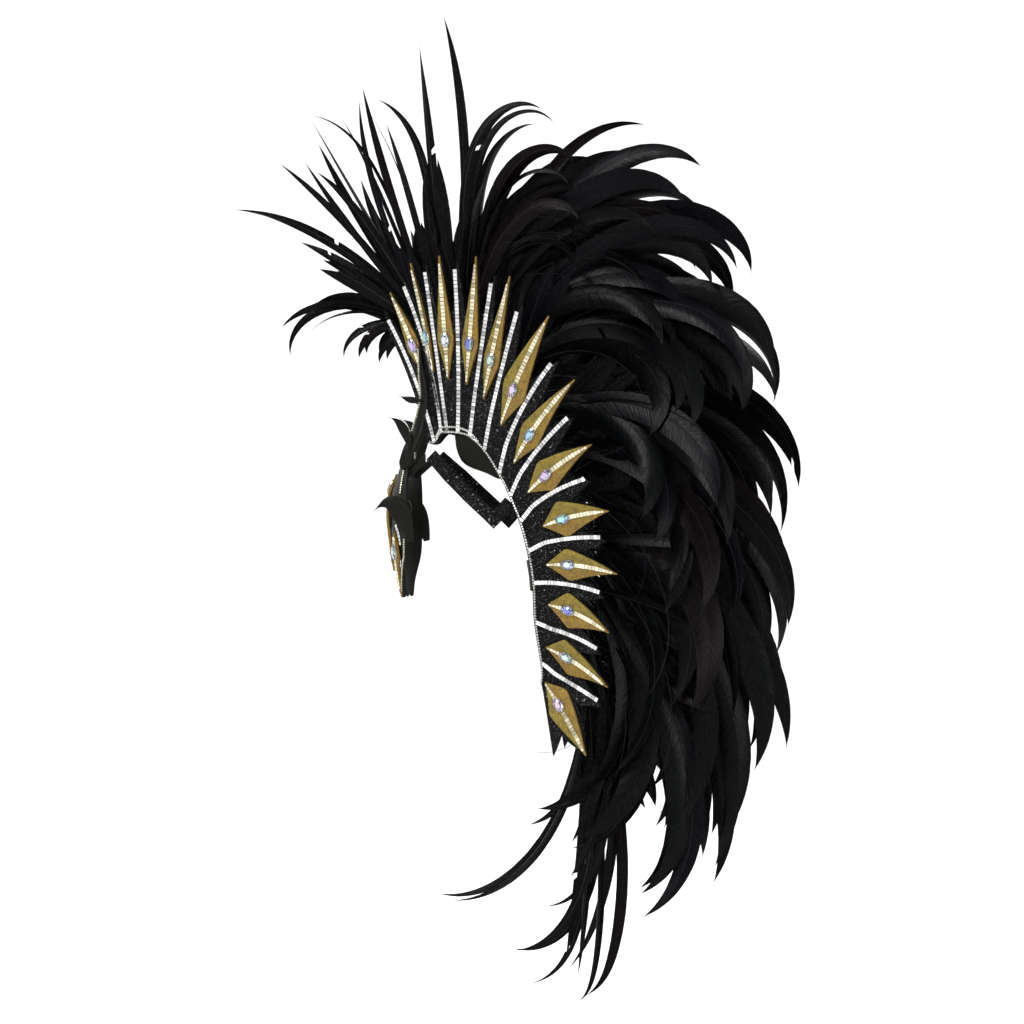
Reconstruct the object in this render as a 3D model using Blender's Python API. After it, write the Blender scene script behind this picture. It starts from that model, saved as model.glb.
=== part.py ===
"""Feathered crest headdress with gold kites, mirror strips, face mask and black plumes.

Metres, +Z up. The wearer looks along -X, and the wearer's left is -Y. The origin is the seat on the
crown of the head, on the middle plane: the lowest point of the crown pad's middle rests on it.
"""
import math

import bmesh
import bpy
from mathutils import Vector

# Clearances and walls
GAP = 0.0005            # between pieces that touch
WELD = 0.000002         # points nearer than this become one
SEAT_GAP = 0.0009       # under trims that follow the curved boards
PANEL_WALL = 0.004      # glitter board of the side panels
PAD_WALL = 0.003
BAND_WALL = 0.002
MASK_WALL = 0.003

# Side panels: the rim that sits on the head, and the rays that stand on it
RIM_DEPTH = 0.100       # from the seat back to the nape line
NAPE_DROP = 0.400       # from the seat down to the tail
RIM_HALF = 0.057        # half the width between the panels at the rim
RAY_REACH = 0.215       # longest black spike
TIP_HALF = 0.106        # half the width between the widest spike tips
VALLEY_SHARE = 0.66     # depth of the notches along the rays
BACKING_MARGIN = 0.003  # how far a gold kite stands past the board behind it
PANEL_ROWS = (0.0, 0.34, 0.68, 1.0)
TAIL_OUTLINE = ((0.72, 0.80), (0.88, 0.93))  # place past the last spike, share of the ray

# One row for each black spike, after the front edge, and the tail last. The gold kite of a row
# stands behind that row's spike. back is a share of RIM_DEPTH, up of NAPE_DROP, half of RIM_HALF,
# reach and kite_reach of RAY_REACH, tip of TIP_HALF, kite_root and bow of the ray's own length,
# kite_fill of the free width between two strips. lean is in degrees from upright towards the back.
CREST_COLUMNS = ("back", "up", "half", "lean", "reach", "tip", "bow", "kite_reach", "kite_root", "kite_fill")
CREST_ROWS = (
    (-0.65, -0.045, 0.07, -19.0, 0.64, 0.045, 0.030, 0.90, 0.50, 0.95),
    (-0.54, -0.050, 0.17, -20.8, 0.84, 0.11, 0.035, 0.90, 0.45, 0.80),
    (-0.44, -0.020, 0.33, -13.9, 0.95, 0.29, 0.040, 1.00, 0.36, 0.98),
    (-0.35, -0.020, 0.47, -6.4, 1.00, 0.49, 0.000, 1.02, 0.31, 1.00),
    (-0.21, -0.022, 0.61, 1.0, 1.00, 0.65, 0.010, 1.02, 0.29, 1.00),
    (-0.05, -0.035, 0.75, 10.9, 0.94, 0.82, -0.005, 0.97, 0.27, 1.00),
    (0.14, -0.078, 0.89, 16.9, 0.86, 0.94, -0.010, 0.90, 0.25, 1.00),
    (0.33, -0.150, 0.98, 30.0, 0.74, 1.00, -0.050, 0.74, 0.20, 1.00),
    (0.46, -0.218, 1.00, 41.3, 0.60, 0.98, -0.040, 0.60, 0.22, 1.00),
    (0.58, -0.295, 0.98, 61.8, 0.49, 0.94, -0.060, 0.54, 0.26, 1.00),
    (0.67, -0.383, 0.95, 83.0, 0.48, 0.89, -0.045, 0.53, 0.20, 1.00),
    (0.73, -0.480, 0.89, 100.5, 0.44, 0.82, -0.060, 0.49, 0.20, 0.95),
    (0.75, -0.600, 0.82, 114.5, 0.44, 0.73, -0.060, 0.49, 0.13, 0.95),
    (0.82, -0.723, 0.75, 125.0, 0.44, 0.64, -0.030, 0.53, 0.10, 0.85),
    (0.84, -0.788, 0.72, 170.0, 0.42, 0.52, 0.000, 0.53, 0.10, 0.85),
)
SPIKES = len(CREST_ROWS) - 2

# Gold kites, mirror strips, stones and the chain on the rim
KITE_CLEARANCE = 0.0010 # between a kite's corners and the strips beside it
KITE_WALL = 0.003
KITE_WIDEST = 0.32      # share of the kite's length from its root
KITE_POINT = 0.0012     # width left at a kite's two ends
STRIP_WIDTH = 0.0072
STRIP_WALL = 0.0014
STRIP_END = 0.94        # share of the spike that the strip covers
STRIP_DRIFT = 0.07      # the strip's outer end lies in front of the spike's middle
KITE_STRIP_WIDTH = 0.0056
# Shares of the kite's length and of the strip's width
KITE_STRIP_STATIONS = ((0.02, 0.35), (0.5, 1.0), (0.94, 0.30))
STONE_LENGTH = 0.018
STONE_WIDTH = 0.0125
STONE_HEIGHT = 0.0042
STONE_SIDES = 8
STONE_TABLE = 0.62      # share of the stone's outline
STONE_SEAT = 0.6        # share of the kite's wall that lies under the stone
CHAIN_WIDTH = 0.005
CHAIN_HEIGHT = 0.0026
CHAIN_INSET = 0.0035    # from the rim
CHAIN_START = 0.55      # along the crest, in spikes
CHAIN_STEPS = 24
TAIL_CHAIN_INSET = 0.06 # before the crest's end, in spikes
TAIL_CHAIN_END = 0.97   # share of the last ray

# Crown pad, crest base and bands
PAD_LAP = 0.002         # the pad's sides stand this far above the rim, inside the panels
PAD_ARCH = 0.006        # and its middle this far above its sides
PAD_DROP = 0.034        # deepest point of the flaps below the rim
PAD_HEM = 0.002         # least drop, at the pad's two ends
PAD_SKEW = 0.85         # below one, the flaps' lowest point moves to the front
PAD_ROUND = 0.8         # below one, the flaps are fuller than a sine
PAD_START = 3.6         # along the crest, in spikes
PAD_END = 7.6
PAD_STATIONS = 8
PAD_STEPS = 6
FLOOR_RISE = 0.024      # place of the floor along the rays
FLOOR_WALL = 0.004
BASE_START = 1.60       # along the crest, in spikes
BASE_END = 13.50
BASE_STEPS = 18
FIN_INSET = 0.03        # the fin stops this far inside the floor's ends
FIN_SHARE = 0.62        # top of the fin along the rays
FIN_WALL = 0.012
BAND_WIDTH = 0.012
BAND_STANDOFF = 0.0039  # from the mask's inner face to the middle of the band behind it
BAND_UP = -0.26         # share of MASK_HEIGHT
BAND_ACROSS = (-0.8, -0.5, -0.25, 0.0, 0.25, 0.5, 0.8)
BAND_END_BACK = 0.37    # the band's end from the strap's, in strap widths
BAND_END_DOWN = 0.25
STRAP_WIDTH = 0.0165
STRAP_FORWARD = 0.060   # from the seat to the strap's front end
STRAP_DROP = 0.114      # from the seat to the V of the strap
STRAP_HALF = 0.066      # half the width between the straps
STRAP_COLUMNS = ("back", "up", "half")
STRAP_ROWS = (
    (-0.95, -0.30, 0.46),
    (-0.52, -0.52, 0.84),
    (-0.05, -0.76, 0.97),
    (0.45, -1.00, 1.00),
    (0.62, -0.90, 0.88),
    (0.76, -0.81, 0.81),
)
NAPE_BAND_TOP = 0.165
NAPE_BAND_HEIGHT = 0.038
NAPE_BAND_SWELL = 0.016
NAPE_BAND_SEAT = 0.006  # from the rim
NAPE_BAND_ACROSS = (-1.0, -0.6, -0.2, 0.2, 0.6, 1.0)

# Face mask. up is the height, front the place of the middle, side the place of the edge, half the
# half width, all in shares of MASK_HEIGHT below the seat, MASK_FRONT, MASK_SIDE and MASK_HALF. The
# last column marks the cells that are board, from the wearer's left to right.
MASK_HEIGHT = 0.215
MASK_FRONT = 0.114
MASK_SIDE = 0.086
MASK_HALF = 0.056
MASK_ROUND = 2.2        # how square the mask's section is
MASK_ACROSS = (-1.0, -0.80, -0.58, -0.36, -0.15, 0.15, 0.36, 0.58, 0.80, 1.0)
MASK_COLUMNS = ("up", "front", "side", "half", "cells")
MASK_ROWS = (
    (-0.13, 0.83, 0.97, 0.40, "111111111"),
    (-0.22, 0.88, 0.98, 0.72, "111111111"),
    (-0.31, 0.93, 0.98, 0.90, "111111111"),
    (-0.41, 0.99, 0.98, 1.00, "100010001"),
    (-0.53, 1.00, 0.98, 1.00, "110010011"),
    (-0.61, 0.985, 0.98, 0.97, "111010111"),
    (-0.71, 0.965, 0.98, 0.92, "111010111"),
    (-0.81, 0.94, 0.98, 0.84, "011000110"),
    (-0.91, 0.91, 0.97, 0.76, "011000110"),
    (-1.00, 0.88, 0.96, 0.68, "000000000"),
)

# Arms of the mask and horns, in shares of ARM_RISE up, ARM_FORWARD to the front and ARM_HALF aside
ARM_RISE = 0.101
ARM_FORWARD = 0.086
ARM_SPREAD = 5 / 7      # how far apart the arms stand, as a share of the mask's width
ARM_HALF = MASK_HALF * ARM_SPREAD
ARM_WIDTH = 0.015
ARM_COLUMNS = ("back", "half", "up", "width")
ARM_ROWS = (
    (-1.07, 0.93, -0.52, 0.90),
    (-0.98, 1.00, -0.30, 1.00),
    (-0.86, 0.80, 0.00, 0.90),
    (-0.78, 0.69, 0.35, 0.72),
    (-0.81, 0.70, 0.65, 0.52),
    (-0.85, 0.72, 1.00, 0.10),
)
HORN_WALL = 0.003
HORN_BREADTH = 0.020    # of the widest horn at its root
HORN_SHARES = (0.0, 0.25, 0.5, 0.75)
HORN_TAPER = 1.6
# Root, bend and tip of each horn's middle line: back as a share of ARM_FORWARD, up of MASK_HEIGHT and
# half of MASK_HALF and breadth of HORN_BREADTH
HORN_COLUMNS = ("name", "half", "root_back", "root_up", "bend_back", "bend_up",
                "tip_back", "tip_up", "breadth")
HORN_ROWS = (
    ("small", 0.545, -0.80, 0.16, -0.98, 0.15, -1.14, 0.19, 0.40),
    ("brow", 0.75, -0.95, -0.11, -1.22, -0.07, -1.30, 0.07, 0.85),
    ("cheek", 1.009, -0.96, -0.64, -1.22, -0.32, -1.53, -0.51, 1.00),
)

# Gold kites of the mask: middle across the mask, top, widest and bottom height, half breadth, in the
# mask's own shares
MASK_KITE_COLUMNS = ("name", "middle", "top", "widest", "bottom", "breadth", "stone")
MASK_KITE_ROWS = (
    ("nose", 0.0, -0.27, -0.38, -0.83, 0.30, -0.35),
    ("cheek_left", -0.70, -0.60, -0.74, -0.96, 0.13, -0.72),
)

# Plumes. root is the place along the crest in spikes, side the lean to the wearer's right as a
# share of PLUME_SPREAD, lean and curl the angle at the root and the turn to the tip in the side
# view, late the share of that turn that comes near the tip, length of PLUME_LENGTH and breadth of
# PLUME_BREADTH.
PLUME_LENGTH = 0.500
PLUME_BREADTH = 0.048
PLUME_SPREAD = 0.120
LOCK_FLAT = 0.34        # thickness of a lock over its breadth
LOCK_RINGS = (0.0, 0.12, 0.28, 0.46, 0.64, 0.80, 0.92)
LOCK_SWELL = (0.14, 0.50, 0.88, 1.00, 0.92, 0.68, 0.36)
LOCK_STEPS = 60
LOCK_LATE = 3.5         # power of the part of the turn that comes near the tip
LOCK_FLARE = 1.3        # power of the lean to the side
LOCK_SINK = 0.003       # how deep a lock's root reaches into its backing
BACKING_RISE = 0.008
BACKING_END = 0.06      # past the outermost locks, in spikes
BACKING_STEPS = 6
LOCK_COLUMNS = ("root", "side", "lean", "curl", "late", "length", "breadth")
PLUMES = {
    "plume_front_droop": (
        (1.72, 0.04, -50, -62, 0.3, 0.33, 0.28),
        (1.77, -0.03, -48, -92, 0.3, 0.40, 0.28),
        (1.82, 0.05, -44, -146, 0.4, 0.44, 0.24),
        (1.87, -0.05, -50, -135, 0.3, 0.26, 0.22),
        (1.92, 0.02, -48, -145, 0.3, 0.20, 0.22),
    ),
    "plume_front_spray": (
        (2.30, 0.20, -38, -56, 0.4, 0.40, 0.36),
        (2.36, -0.30, -38, -42, 0.4, 0.59, 0.22),
        (2.43, 0.15, -36, -52, 0.4, 0.66, 0.22),
        (2.50, -0.10, -31, -32, 0.3, 0.64, 0.22),
        (2.60, 0.30, -27, -8, 0.3, 0.60, 0.25),
        (2.70, -0.25, -22, -14, 0.3, 0.65, 0.25),
        (2.80, 0.25, -25, 10, 0.3, 0.62, 0.26),
        (2.95, -0.15, -15, 0, 0.0, 0.66, 0.25),
        (3.15, 0.20, -8, -16, 0.8, 0.66, 0.26),
        (3.35, -0.08, -3, -4, 0.0, 0.71, 0.30),
        (3.55, 0.10, -2, -3, 0.0, 0.77, 0.28),
    ),
    "plume_top": (
        (3.85, -0.10, -1, 130, 1.00, 0.68, 0.40),
        (4.05, 0.12, 0, 150, 1.00, 0.69, 0.40),
        (4.25, -0.35, 5, 150, 0.90, 0.60, 0.55),
        (4.45, 0.35, 8, 150, 0.80, 0.63, 0.60),
        (4.65, 0.10, 12, 95, 0.70, 0.72, 0.30),
        (4.85, -0.40, 17, 120, 0.60, 0.78, 0.65),
        (5.05, 0.50, 20, 130, 0.60, 0.72, 0.65),
        (5.30, 0.00, 24, 155, 0.50, 0.84, 0.75),
        (5.50, -0.75, 27, 140, 0.50, 0.76, 0.70),
    ),
    "plume_back_upper": (
        (5.90, 0.20, 46, 156, 0.45, 0.85, 0.80),
        (6.10, -0.60, 42, 145, 0.45, 0.80, 0.80),
        (6.35, 0.90, 50, 130, 0.45, 0.74, 0.75),
        (6.60, -0.25, 72, 126, 0.35, 0.86, 0.85),
        (6.90, 0.60, 62, 122, 0.35, 0.80, 0.80),
        (7.20, -0.90, 72, 110, 0.35, 0.72, 0.75),
    ),
    "plume_back_middle": (
        (7.70, 0.25, 92, 112, 0.35, 0.90, 0.90),
        (8.05, -0.55, 86, 106, 0.35, 0.82, 0.90),
        (8.40, 0.90, 98, 90, 0.35, 0.72, 0.80),
        (8.80, -0.20, 110, 94, 0.35, 0.93, 0.90),
        (9.20, 0.55, 110, 76, 0.35, 0.86, 0.85),
    ),
    "plume_back_lower": (
        (9.80, -0.25, 124, 84, 0.30, 0.96, 0.90),
        (10.30, 0.60, 132, 74, 0.40, 0.94, 0.85),
        (10.80, -0.50, 138, 104, 0.60, 0.94, 0.80),
        (11.30, 0.15, 136, 52, 0.40, 0.72, 0.75),
    ),
    "plume_tail": (
        (11.80, -0.40, 152, 50, 0.30, 0.58, 0.30),
        (12.10, 0.30, 160, 105, 0.60, 0.60, 0.30),
        (12.40, -0.15, 164, 145, 0.85, 0.76, 0.25),
        (12.65, 0.10, 168, 108, 0.80, 0.76, 0.25),
        (12.90, -0.25, 171, 28, 0.30, 0.74, 0.28),
        (13.15, 0.20, 171, 95, 0.95, 0.82, 0.25),
    ),
}


class Rows:
    """A table with named columns, read smoothly between its rows."""

    def __init__(self, columns, rows):
        self.columns = {name: [row[i] for row in rows] for i, name in enumerate(columns)}
        self.last = len(rows) - 1

    def at(self, name, place):
        values = self.columns[name]
        place = min(max(place, 0.0), float(self.last))
        i = min(int(place), self.last - 1)
        t = place - i
        a = values[max(i - 1, 0)]
        b = values[i]
        c = values[i + 1]
        d = values[min(i + 2, self.last)]
        bend = 2 * a - 5 * b + 4 * c - d
        twist = 3 * b - a - 3 * c + d
        return b + ((c - a) * t + bend * t ** 2 + twist * t ** 3) / 2


def named(columns, rows):
    """The rows of a table, each with its columns' names."""
    return [dict(zip(columns, row)) for row in rows]


CREST = Rows(CREST_COLUMNS, CREST_ROWS)


def crest_point(place, distance):
    """Point on the middle of the left panel's board, at a place along the rim and up a ray."""
    reach = CREST.at("reach", place) * RAY_REACH
    share = distance / reach
    lean = math.radians(CREST.at("lean", place))
    bow = CREST.at("bow", place) * reach * 4 * share * (1 - share)
    back = CREST.at("back", place) * RIM_DEPTH + distance * math.sin(lean) + bow * math.cos(lean)
    up = CREST.at("up", place) * NAPE_DROP + distance * math.cos(lean) - bow * math.sin(lean)
    rim = CREST.at("half", place) * RIM_HALF
    half = rim + (CREST.at("tip", place) * TIP_HALF - rim) * share
    return Vector((back, -half, up))


def crest_frame(place, distance):
    """Point, outward normal and direction up the ray on the left panel."""
    step = RAY_REACH / 100
    near = min(max(place, 0.03), CREST.last - 0.03)
    along = crest_point(near + 0.03, distance) - crest_point(near - 0.03, distance)
    ray = (crest_point(near, distance + step) - crest_point(near, distance - step)).normalized()
    normal = along.cross(ray).normalized()
    return crest_point(place, distance), normal, ray


def material(name, colour, roughness, metallic):
    made = bpy.data.materials.get(name)
    if made is None:
        made = bpy.data.materials.new(name)
        made.use_nodes = True
        shader = made.node_tree.nodes["Principled BSDF"]
        shader.inputs["Base Color"].default_value = (*colour, 1.0)
        shader.inputs["Roughness"].default_value = roughness
        shader.inputs["Metallic"].default_value = metallic
    return made


def glitter_board():
    return material("glitter_board", (0.016, 0.016, 0.018), 0.55, 0.0)


def gold_glitter():
    return material("gold_glitter", (0.48, 0.29, 0.035), 0.45, 0.0)


def mirror_tile():
    return material("mirror_tile", (0.85, 0.86, 0.88), 0.12, 1.0)


def black_feather():
    return material("black_feather", (0.010, 0.010, 0.012), 0.5, 0.0)


def make_object(name, points, faces, finish):
    """One closed body whose faces are turned outward."""
    mesh = bpy.data.meshes.new(name)
    mesh.from_pydata([tuple(p) for p in points], [], faces)
    work = bmesh.new()
    work.from_mesh(mesh)
    bmesh.ops.recalc_face_normals(work, faces=work.faces)
    if work.calc_volume(signed=True) < 0:
        bmesh.ops.reverse_faces(work, faces=work.faces)
    work.to_mesh(mesh)
    work.free()
    mesh.materials.append(finish)
    made = bpy.data.objects.new(name, mesh)
    bpy.context.scene.collection.objects.link(made)
    return made


def mirrored(source, name):
    """The wearer's right-hand copy of a left-hand piece."""
    mesh = source.data.copy()
    for vertex in mesh.vertices:
        vertex.co.y = -vertex.co.y
    mesh.flip_normals()
    made = bpy.data.objects.new(name, mesh)
    bpy.context.scene.collection.objects.link(made)
    return made


def walled(name, outer, inner, finish, present=None):
    """Closed wall between two grids of points; present says which cells are board."""
    rows = len(outer)
    columns = len(outer[0])
    points = [p for row in outer for p in row] + [p for row in inner for p in row]
    shift = rows * columns

    def kept(i, j):
        if not (0 <= i < rows - 1 and 0 <= j < columns - 1):
            return False
        return present is None or present[i][j] == "1"

    faces = []
    for i in range(rows - 1):
        for j in range(columns - 1):
            if not kept(i, j):
                continue
            a = i * columns + j
            b = a + 1
            c = a + columns + 1
            d = a + columns
            faces.append((a, b, c, d))
            faces.append((d + shift, c + shift, b + shift, a + shift))
            for beside, (p, q) in (((i - 1, j), (a, b)), ((i, j + 1), (b, c)),
                                   ((i + 1, j), (c, d)), ((i, j - 1), (d, a))):
                if not kept(*beside):
                    faces.append((q, p, p + shift, q + shift))
    used = sorted({v for face in faces for v in face})
    fresh = {old: new for new, old in enumerate(used)}
    faces = [tuple(fresh[v] for v in face) for face in faces]
    return make_object(name, [points[v] for v in used], faces, finish)


def bar(name, sections, finish):
    """Closed bar through a list of rings with the same number of points."""
    sides = len(sections[0])
    points = [p for ring in sections for p in ring]
    faces = []
    for i in range(len(sections) - 1):
        for j in range(sides):
            a = i * sides + j
            b = i * sides + (j + 1) % sides
            faces.append((a, b, b + sides, a + sides))
    faces.append(tuple(range(sides)))
    faces.append(tuple(range(len(points) - sides, len(points)))[::-1])
    return make_object(name, points, faces, finish)


def pointed(name, sections, tip, finish):
    """Closed bar that runs out in one point."""
    sides = len(sections[0])
    points = [p for ring in sections for p in ring] + [tip]
    faces = []
    for i in range(len(sections) - 1):
        for j in range(sides):
            a = i * sides + j
            b = i * sides + (j + 1) % sides
            faces.append((a, b, b + sides, a + sides))
    last = (len(sections) - 1) * sides
    for j in range(sides):
        faces.append((last + j, last + (j + 1) % sides, len(points) - 1))
    faces.append(tuple(range(sides)))
    return make_object(name, points, faces, finish)


def fuse(body, others):
    """Join the other objects to a body for good."""
    for other in others:
        join = body.modifiers.new("join", "BOOLEAN")
        join.operation = "UNION"
        join.solver = "EXACT"
        join.object = other
        bpy.context.view_layer.update()
        evaluated = body.evaluated_get(bpy.context.evaluated_depsgraph_get())
        mesh = bpy.data.meshes.new_from_object(evaluated)
        body.modifiers.clear()
        body.data = mesh
        bpy.data.objects.remove(other)
    work = bmesh.new()
    work.from_mesh(body.data)
    bmesh.ops.remove_doubles(work, verts=work.verts, dist=WELD)
    bmesh.ops.dissolve_degenerate(work, edges=work.edges, dist=WELD)
    work.to_mesh(body.data)
    work.free()
    return body


def ray_length(place, share):
    return CREST.at("reach", place) * RAY_REACH * share


def panel_columns():
    """Places along the rim with the length of the board there: spikes, notches and kite backings."""
    columns = [(0.0, ray_length(0.0, 1.0))]
    for spike in range(1, SPIKES + 1):
        columns.append((float(spike), ray_length(spike, 1.0)))
        kite = kite_span(spike)[2] - BACKING_MARGIN
        columns.append((spike + 0.25, ray_length(spike + 0.25, VALLEY_SHARE)))
        columns.append((spike + 0.5, kite))
        columns.append((spike + 0.75, ray_length(spike + 0.75, VALLEY_SHARE)))
    columns.pop()
    columns += [(SPIKES + past, ray_length(SPIKES + past, share)) for past, share in TAIL_OUTLINE]
    columns.append((float(CREST.last), ray_length(CREST.last, 1.0)))
    return columns


def kite_span(spike):
    """Place of a kite with its root, widest and tip distances and its width."""
    place = spike + 0.5
    tip = CREST.columns["kite_reach"][spike] * RAY_REACH
    root = CREST.columns["kite_root"][spike] * tip
    widest = root + (tip - root) * KITE_WIDEST
    spacing = (crest_point(place + 0.05, widest) - crest_point(place - 0.05, widest)).length / 0.1
    drift = STRIP_DRIFT * widest / (CREST.at("reach", place) * RAY_REACH)
    free = (0.5 - drift) * spacing - STRIP_WIDTH / 2 - KITE_CLEARANCE
    return root, widest, tip, 2 * free * CREST.columns["kite_fill"][spike], place


def make_side_panel():
    outer = []
    inner = []
    for place, length in panel_columns():
        outer_ray = []
        inner_ray = []
        for share in PANEL_ROWS:
            point, normal, ray = crest_frame(place, length * share)
            outer_ray.append(point + normal * PANEL_WALL / 2)
            inner_ray.append(point - normal * PANEL_WALL / 2)
        outer.append(outer_ray)
        inner.append(inner_ray)
    return walled("side_panel_left", outer, inner, glitter_board())


def ribbon_ring(point, normal, across, width, low, high):
    """Four corners of a flat strip's section, standing on the board."""
    return [point + normal * low - across * width / 2, point + normal * low + across * width / 2,
            point + normal * high + across * width / 2, point + normal * high - across * width / 2]


def make_strip(spike, seat):
    """Mirror-tile strip that runs from the rim out along one spike."""
    rings = []
    for share in (0.0, 0.5, 1.0):
        place = spike - STRIP_DRIFT * share
        distance = CHAIN_INSET + (ray_length(place, STRIP_END) - CHAIN_INSET) * share
        point, normal, ray = crest_frame(place, distance)
        rings.append(ribbon_ring(point, normal, normal.cross(ray), STRIP_WIDTH, seat, seat + STRIP_WALL))
    return bar("strip", rings, mirror_tile())


def make_edge_trim():
    """Chain along the inner edge, fused with the mirror strips that start from it."""
    seat = PANEL_WALL / 2 + SEAT_GAP
    rings = []
    for i in range(CHAIN_STEPS + 1):
        place = CHAIN_START + (CREST.last - CHAIN_START) * i / CHAIN_STEPS
        point, normal, ray = crest_frame(place, CHAIN_INSET)
        rings.append(ribbon_ring(point, normal, ray, CHAIN_WIDTH, seat, seat + CHAIN_HEIGHT))
    chain = bar("edge_trim_left", rings, mirror_tile())
    rings = []
    place = CREST.last - TAIL_CHAIN_INSET
    end = ray_length(CREST.last, TAIL_CHAIN_END)
    for share in (0.0, 0.5, 1.0):
        point, normal, ray = crest_frame(place, CHAIN_INSET + (end - CHAIN_INSET) * share)
        rings.append(ribbon_ring(point, normal, normal.cross(ray), CHAIN_WIDTH, seat, seat + CHAIN_HEIGHT))
    pieces = [bar("tail_chain", rings, mirror_tile())]
    pieces += [make_strip(spike, seat) for spike in range(1, SPIKES + 1)]
    return fuse(chain, pieces)


def make_stone(point, normal, up):
    """Oval cut stone with a table and a crown."""
    across = normal.cross(up).normalized()
    rings = []
    for share, height in ((1.0, 0.0), (STONE_TABLE, 1.0)):
        ring = []
        for i in range(STONE_SIDES):
            angle = 2 * math.pi * i / STONE_SIDES
            ring.append(point + up * math.cos(angle) * STONE_LENGTH / 2 * share
                        + across * math.sin(angle) * STONE_WIDTH / 2 * share + normal * STONE_HEIGHT * height)
        rings.append(ring)
    return bar("stone", rings, mirror_tile())


def make_kite(spike):
    """Gold glitter kite, with its mirror strip and its stone fused on."""
    root, widest, tip, width, place = kite_span(spike)
    seat = PANEL_WALL / 2 + SEAT_GAP
    outer = []
    inner = []
    stations = ((root, 0.0), (widest, 1.0), (widest + (tip - widest) * 0.5, 0.5), (tip, 0.0))
    for distance, share in stations:
        point, normal, ray = crest_frame(place, distance)
        half = max(width * share, KITE_POINT) / 2
        step = (crest_point(place + 0.02, distance) - crest_point(place - 0.02, distance)).length / 0.04
        outer_row = []
        inner_row = []
        for side in (-1.0, 0.0, 1.0):
            beside, turned, ray = crest_frame(place + side * half / step, distance)
            inner_row.append(beside + turned * seat)
            outer_row.append(beside + turned * (seat + KITE_WALL))
        outer.append(outer_row)
        inner.append(inner_row)
    kite = walled("kite_left_%02d" % spike, outer, inner, gold_glitter())
    rings = []
    low = seat + KITE_WALL / 2
    high = seat + KITE_WALL + STRIP_WALL
    for share, breadth in KITE_STRIP_STATIONS:
        point, normal, ray = crest_frame(place, root + (tip - root) * share)
        rings.append(ribbon_ring(point, normal, normal.cross(ray), KITE_STRIP_WIDTH * breadth, low, high))
    strip = bar("kite_strip", rings, mirror_tile())
    point, normal, ray = crest_frame(place, widest)
    stone = make_stone(point + normal * (seat + KITE_WALL * STONE_SEAT), normal, ray)
    return fuse(kite, [strip, stone])


def make_crown_pad():
    """Saddle over the crown whose flaps hang below the rim on both sides."""
    outer = []
    inner = []
    for i in range(PAD_STATIONS):
        share = i / (PAD_STATIONS - 1)
        rim = crest_point(PAD_START + (PAD_END - PAD_START) * share, 0.0)
        drop = PAD_HEM + PAD_DROP * math.sin(math.pi * share ** PAD_SKEW) ** PAD_ROUND
        inside = -rim.y - PANEL_WALL / 2 - GAP - PAD_WALL
        for rows, wall in ((inner, 0.0), (outer, PAD_WALL)):
            half = inside + wall
            row = [Vector((rim.x, -half, rim.z - drop)), Vector((rim.x, -half, rim.z))]
            for k in range(PAD_STEPS + 1):
                angle = math.pi * k / PAD_STEPS
                up = rim.z + PAD_LAP + PAD_ARCH * math.sin(angle) + wall
                row.append(Vector((rim.x, -half * math.cos(angle), up)))
            row += [Vector((rim.x, half, rim.z)), Vector((rim.x, half, rim.z - drop))]
            rows.append(row)
    return walled("crown_pad", outer, inner, glitter_board())


def make_crest_base():
    """Floor between the panels and the fin that stands on it, with the plumes on its edge."""
    upper = []
    lower = []
    fin = []
    for i in range(BASE_STEPS + 1):
        place = BASE_START + (BASE_END - BASE_START) * i / BASE_STEPS
        low, normal, ray = crest_frame(place, FLOOR_RISE)
        high = crest_point(place, FLOOR_RISE + FLOOR_WALL)
        flat = PANEL_WALL / 2 / abs(normal.y) + SEAT_GAP
        for point, row in ((high, upper), (low, lower)):
            edge = point.y + flat
            row.append([Vector((point.x, y, point.z)) for y in (edge, -FIN_WALL / 2, FIN_WALL / 2, -edge)])
        place = min(max(place, BASE_START + FIN_INSET), BASE_END - FIN_INSET)
        top = crest_point(place, CREST.at("reach", place) * RAY_REACH * FIN_SHARE)
        foot = crest_point(place, FLOOR_RISE + FLOOR_WALL / 2)
        fin.append([Vector((foot.x, -FIN_WALL / 2, foot.z)), Vector((foot.x, FIN_WALL / 2, foot.z)),
                    Vector((top.x, FIN_WALL / 2, top.z)), Vector((top.x, -FIN_WALL / 2, top.z))])
    base = walled("crest_base", upper, lower, glitter_board())
    return fuse(base, [bar("fin", fin, glitter_board())])


def band_route(points, width, wall, upright):
    """Rings of a flat band along a route, mitred at its corners; upright keeps its width vertical."""
    rings = []
    for i, point in enumerate(points):
        before = point - points[max(i - 1, 0)]
        after = points[min(i + 1, len(points) - 1)] - point
        if before.length == 0:
            before = after
        if after.length == 0:
            after = before
        before.normalize()
        after.normalize()
        ahead = (before + after).normalized()
        spread = 1.0 / max(before.dot(ahead), 0.5)
        across = ahead.cross(Vector((0.0, -1.0, 0.0))).normalized()
        if upright:
            across = Vector((0.0, 0.0, 1.0))
            spread = 1.0
        normal = across.cross(ahead).normalized()
        rings.append([point - across * width / 2 * spread - normal * wall / 2,
                      point + across * width / 2 * spread - normal * wall / 2,
                      point + across * width / 2 * spread + normal * wall / 2,
                      point - across * width / 2 * spread + normal * wall / 2])
    return rings


MASK = Rows(MASK_COLUMNS[:4], [row[:4] for row in MASK_ROWS])


def mask_point(row, across):
    """Point on the outer face of the mask at a place down its rows and a share of its half width."""
    front = MASK.at("front", row) * MASK_FRONT
    side = MASK.at("side", row) * MASK_SIDE
    half = MASK.at("half", row) * MASK_HALF
    depth = (front - side) * (1.0 - abs(across) ** MASK_ROUND)
    return Vector((-side - depth, half * across, MASK.at("up", row) * MASK_HEIGHT))


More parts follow.
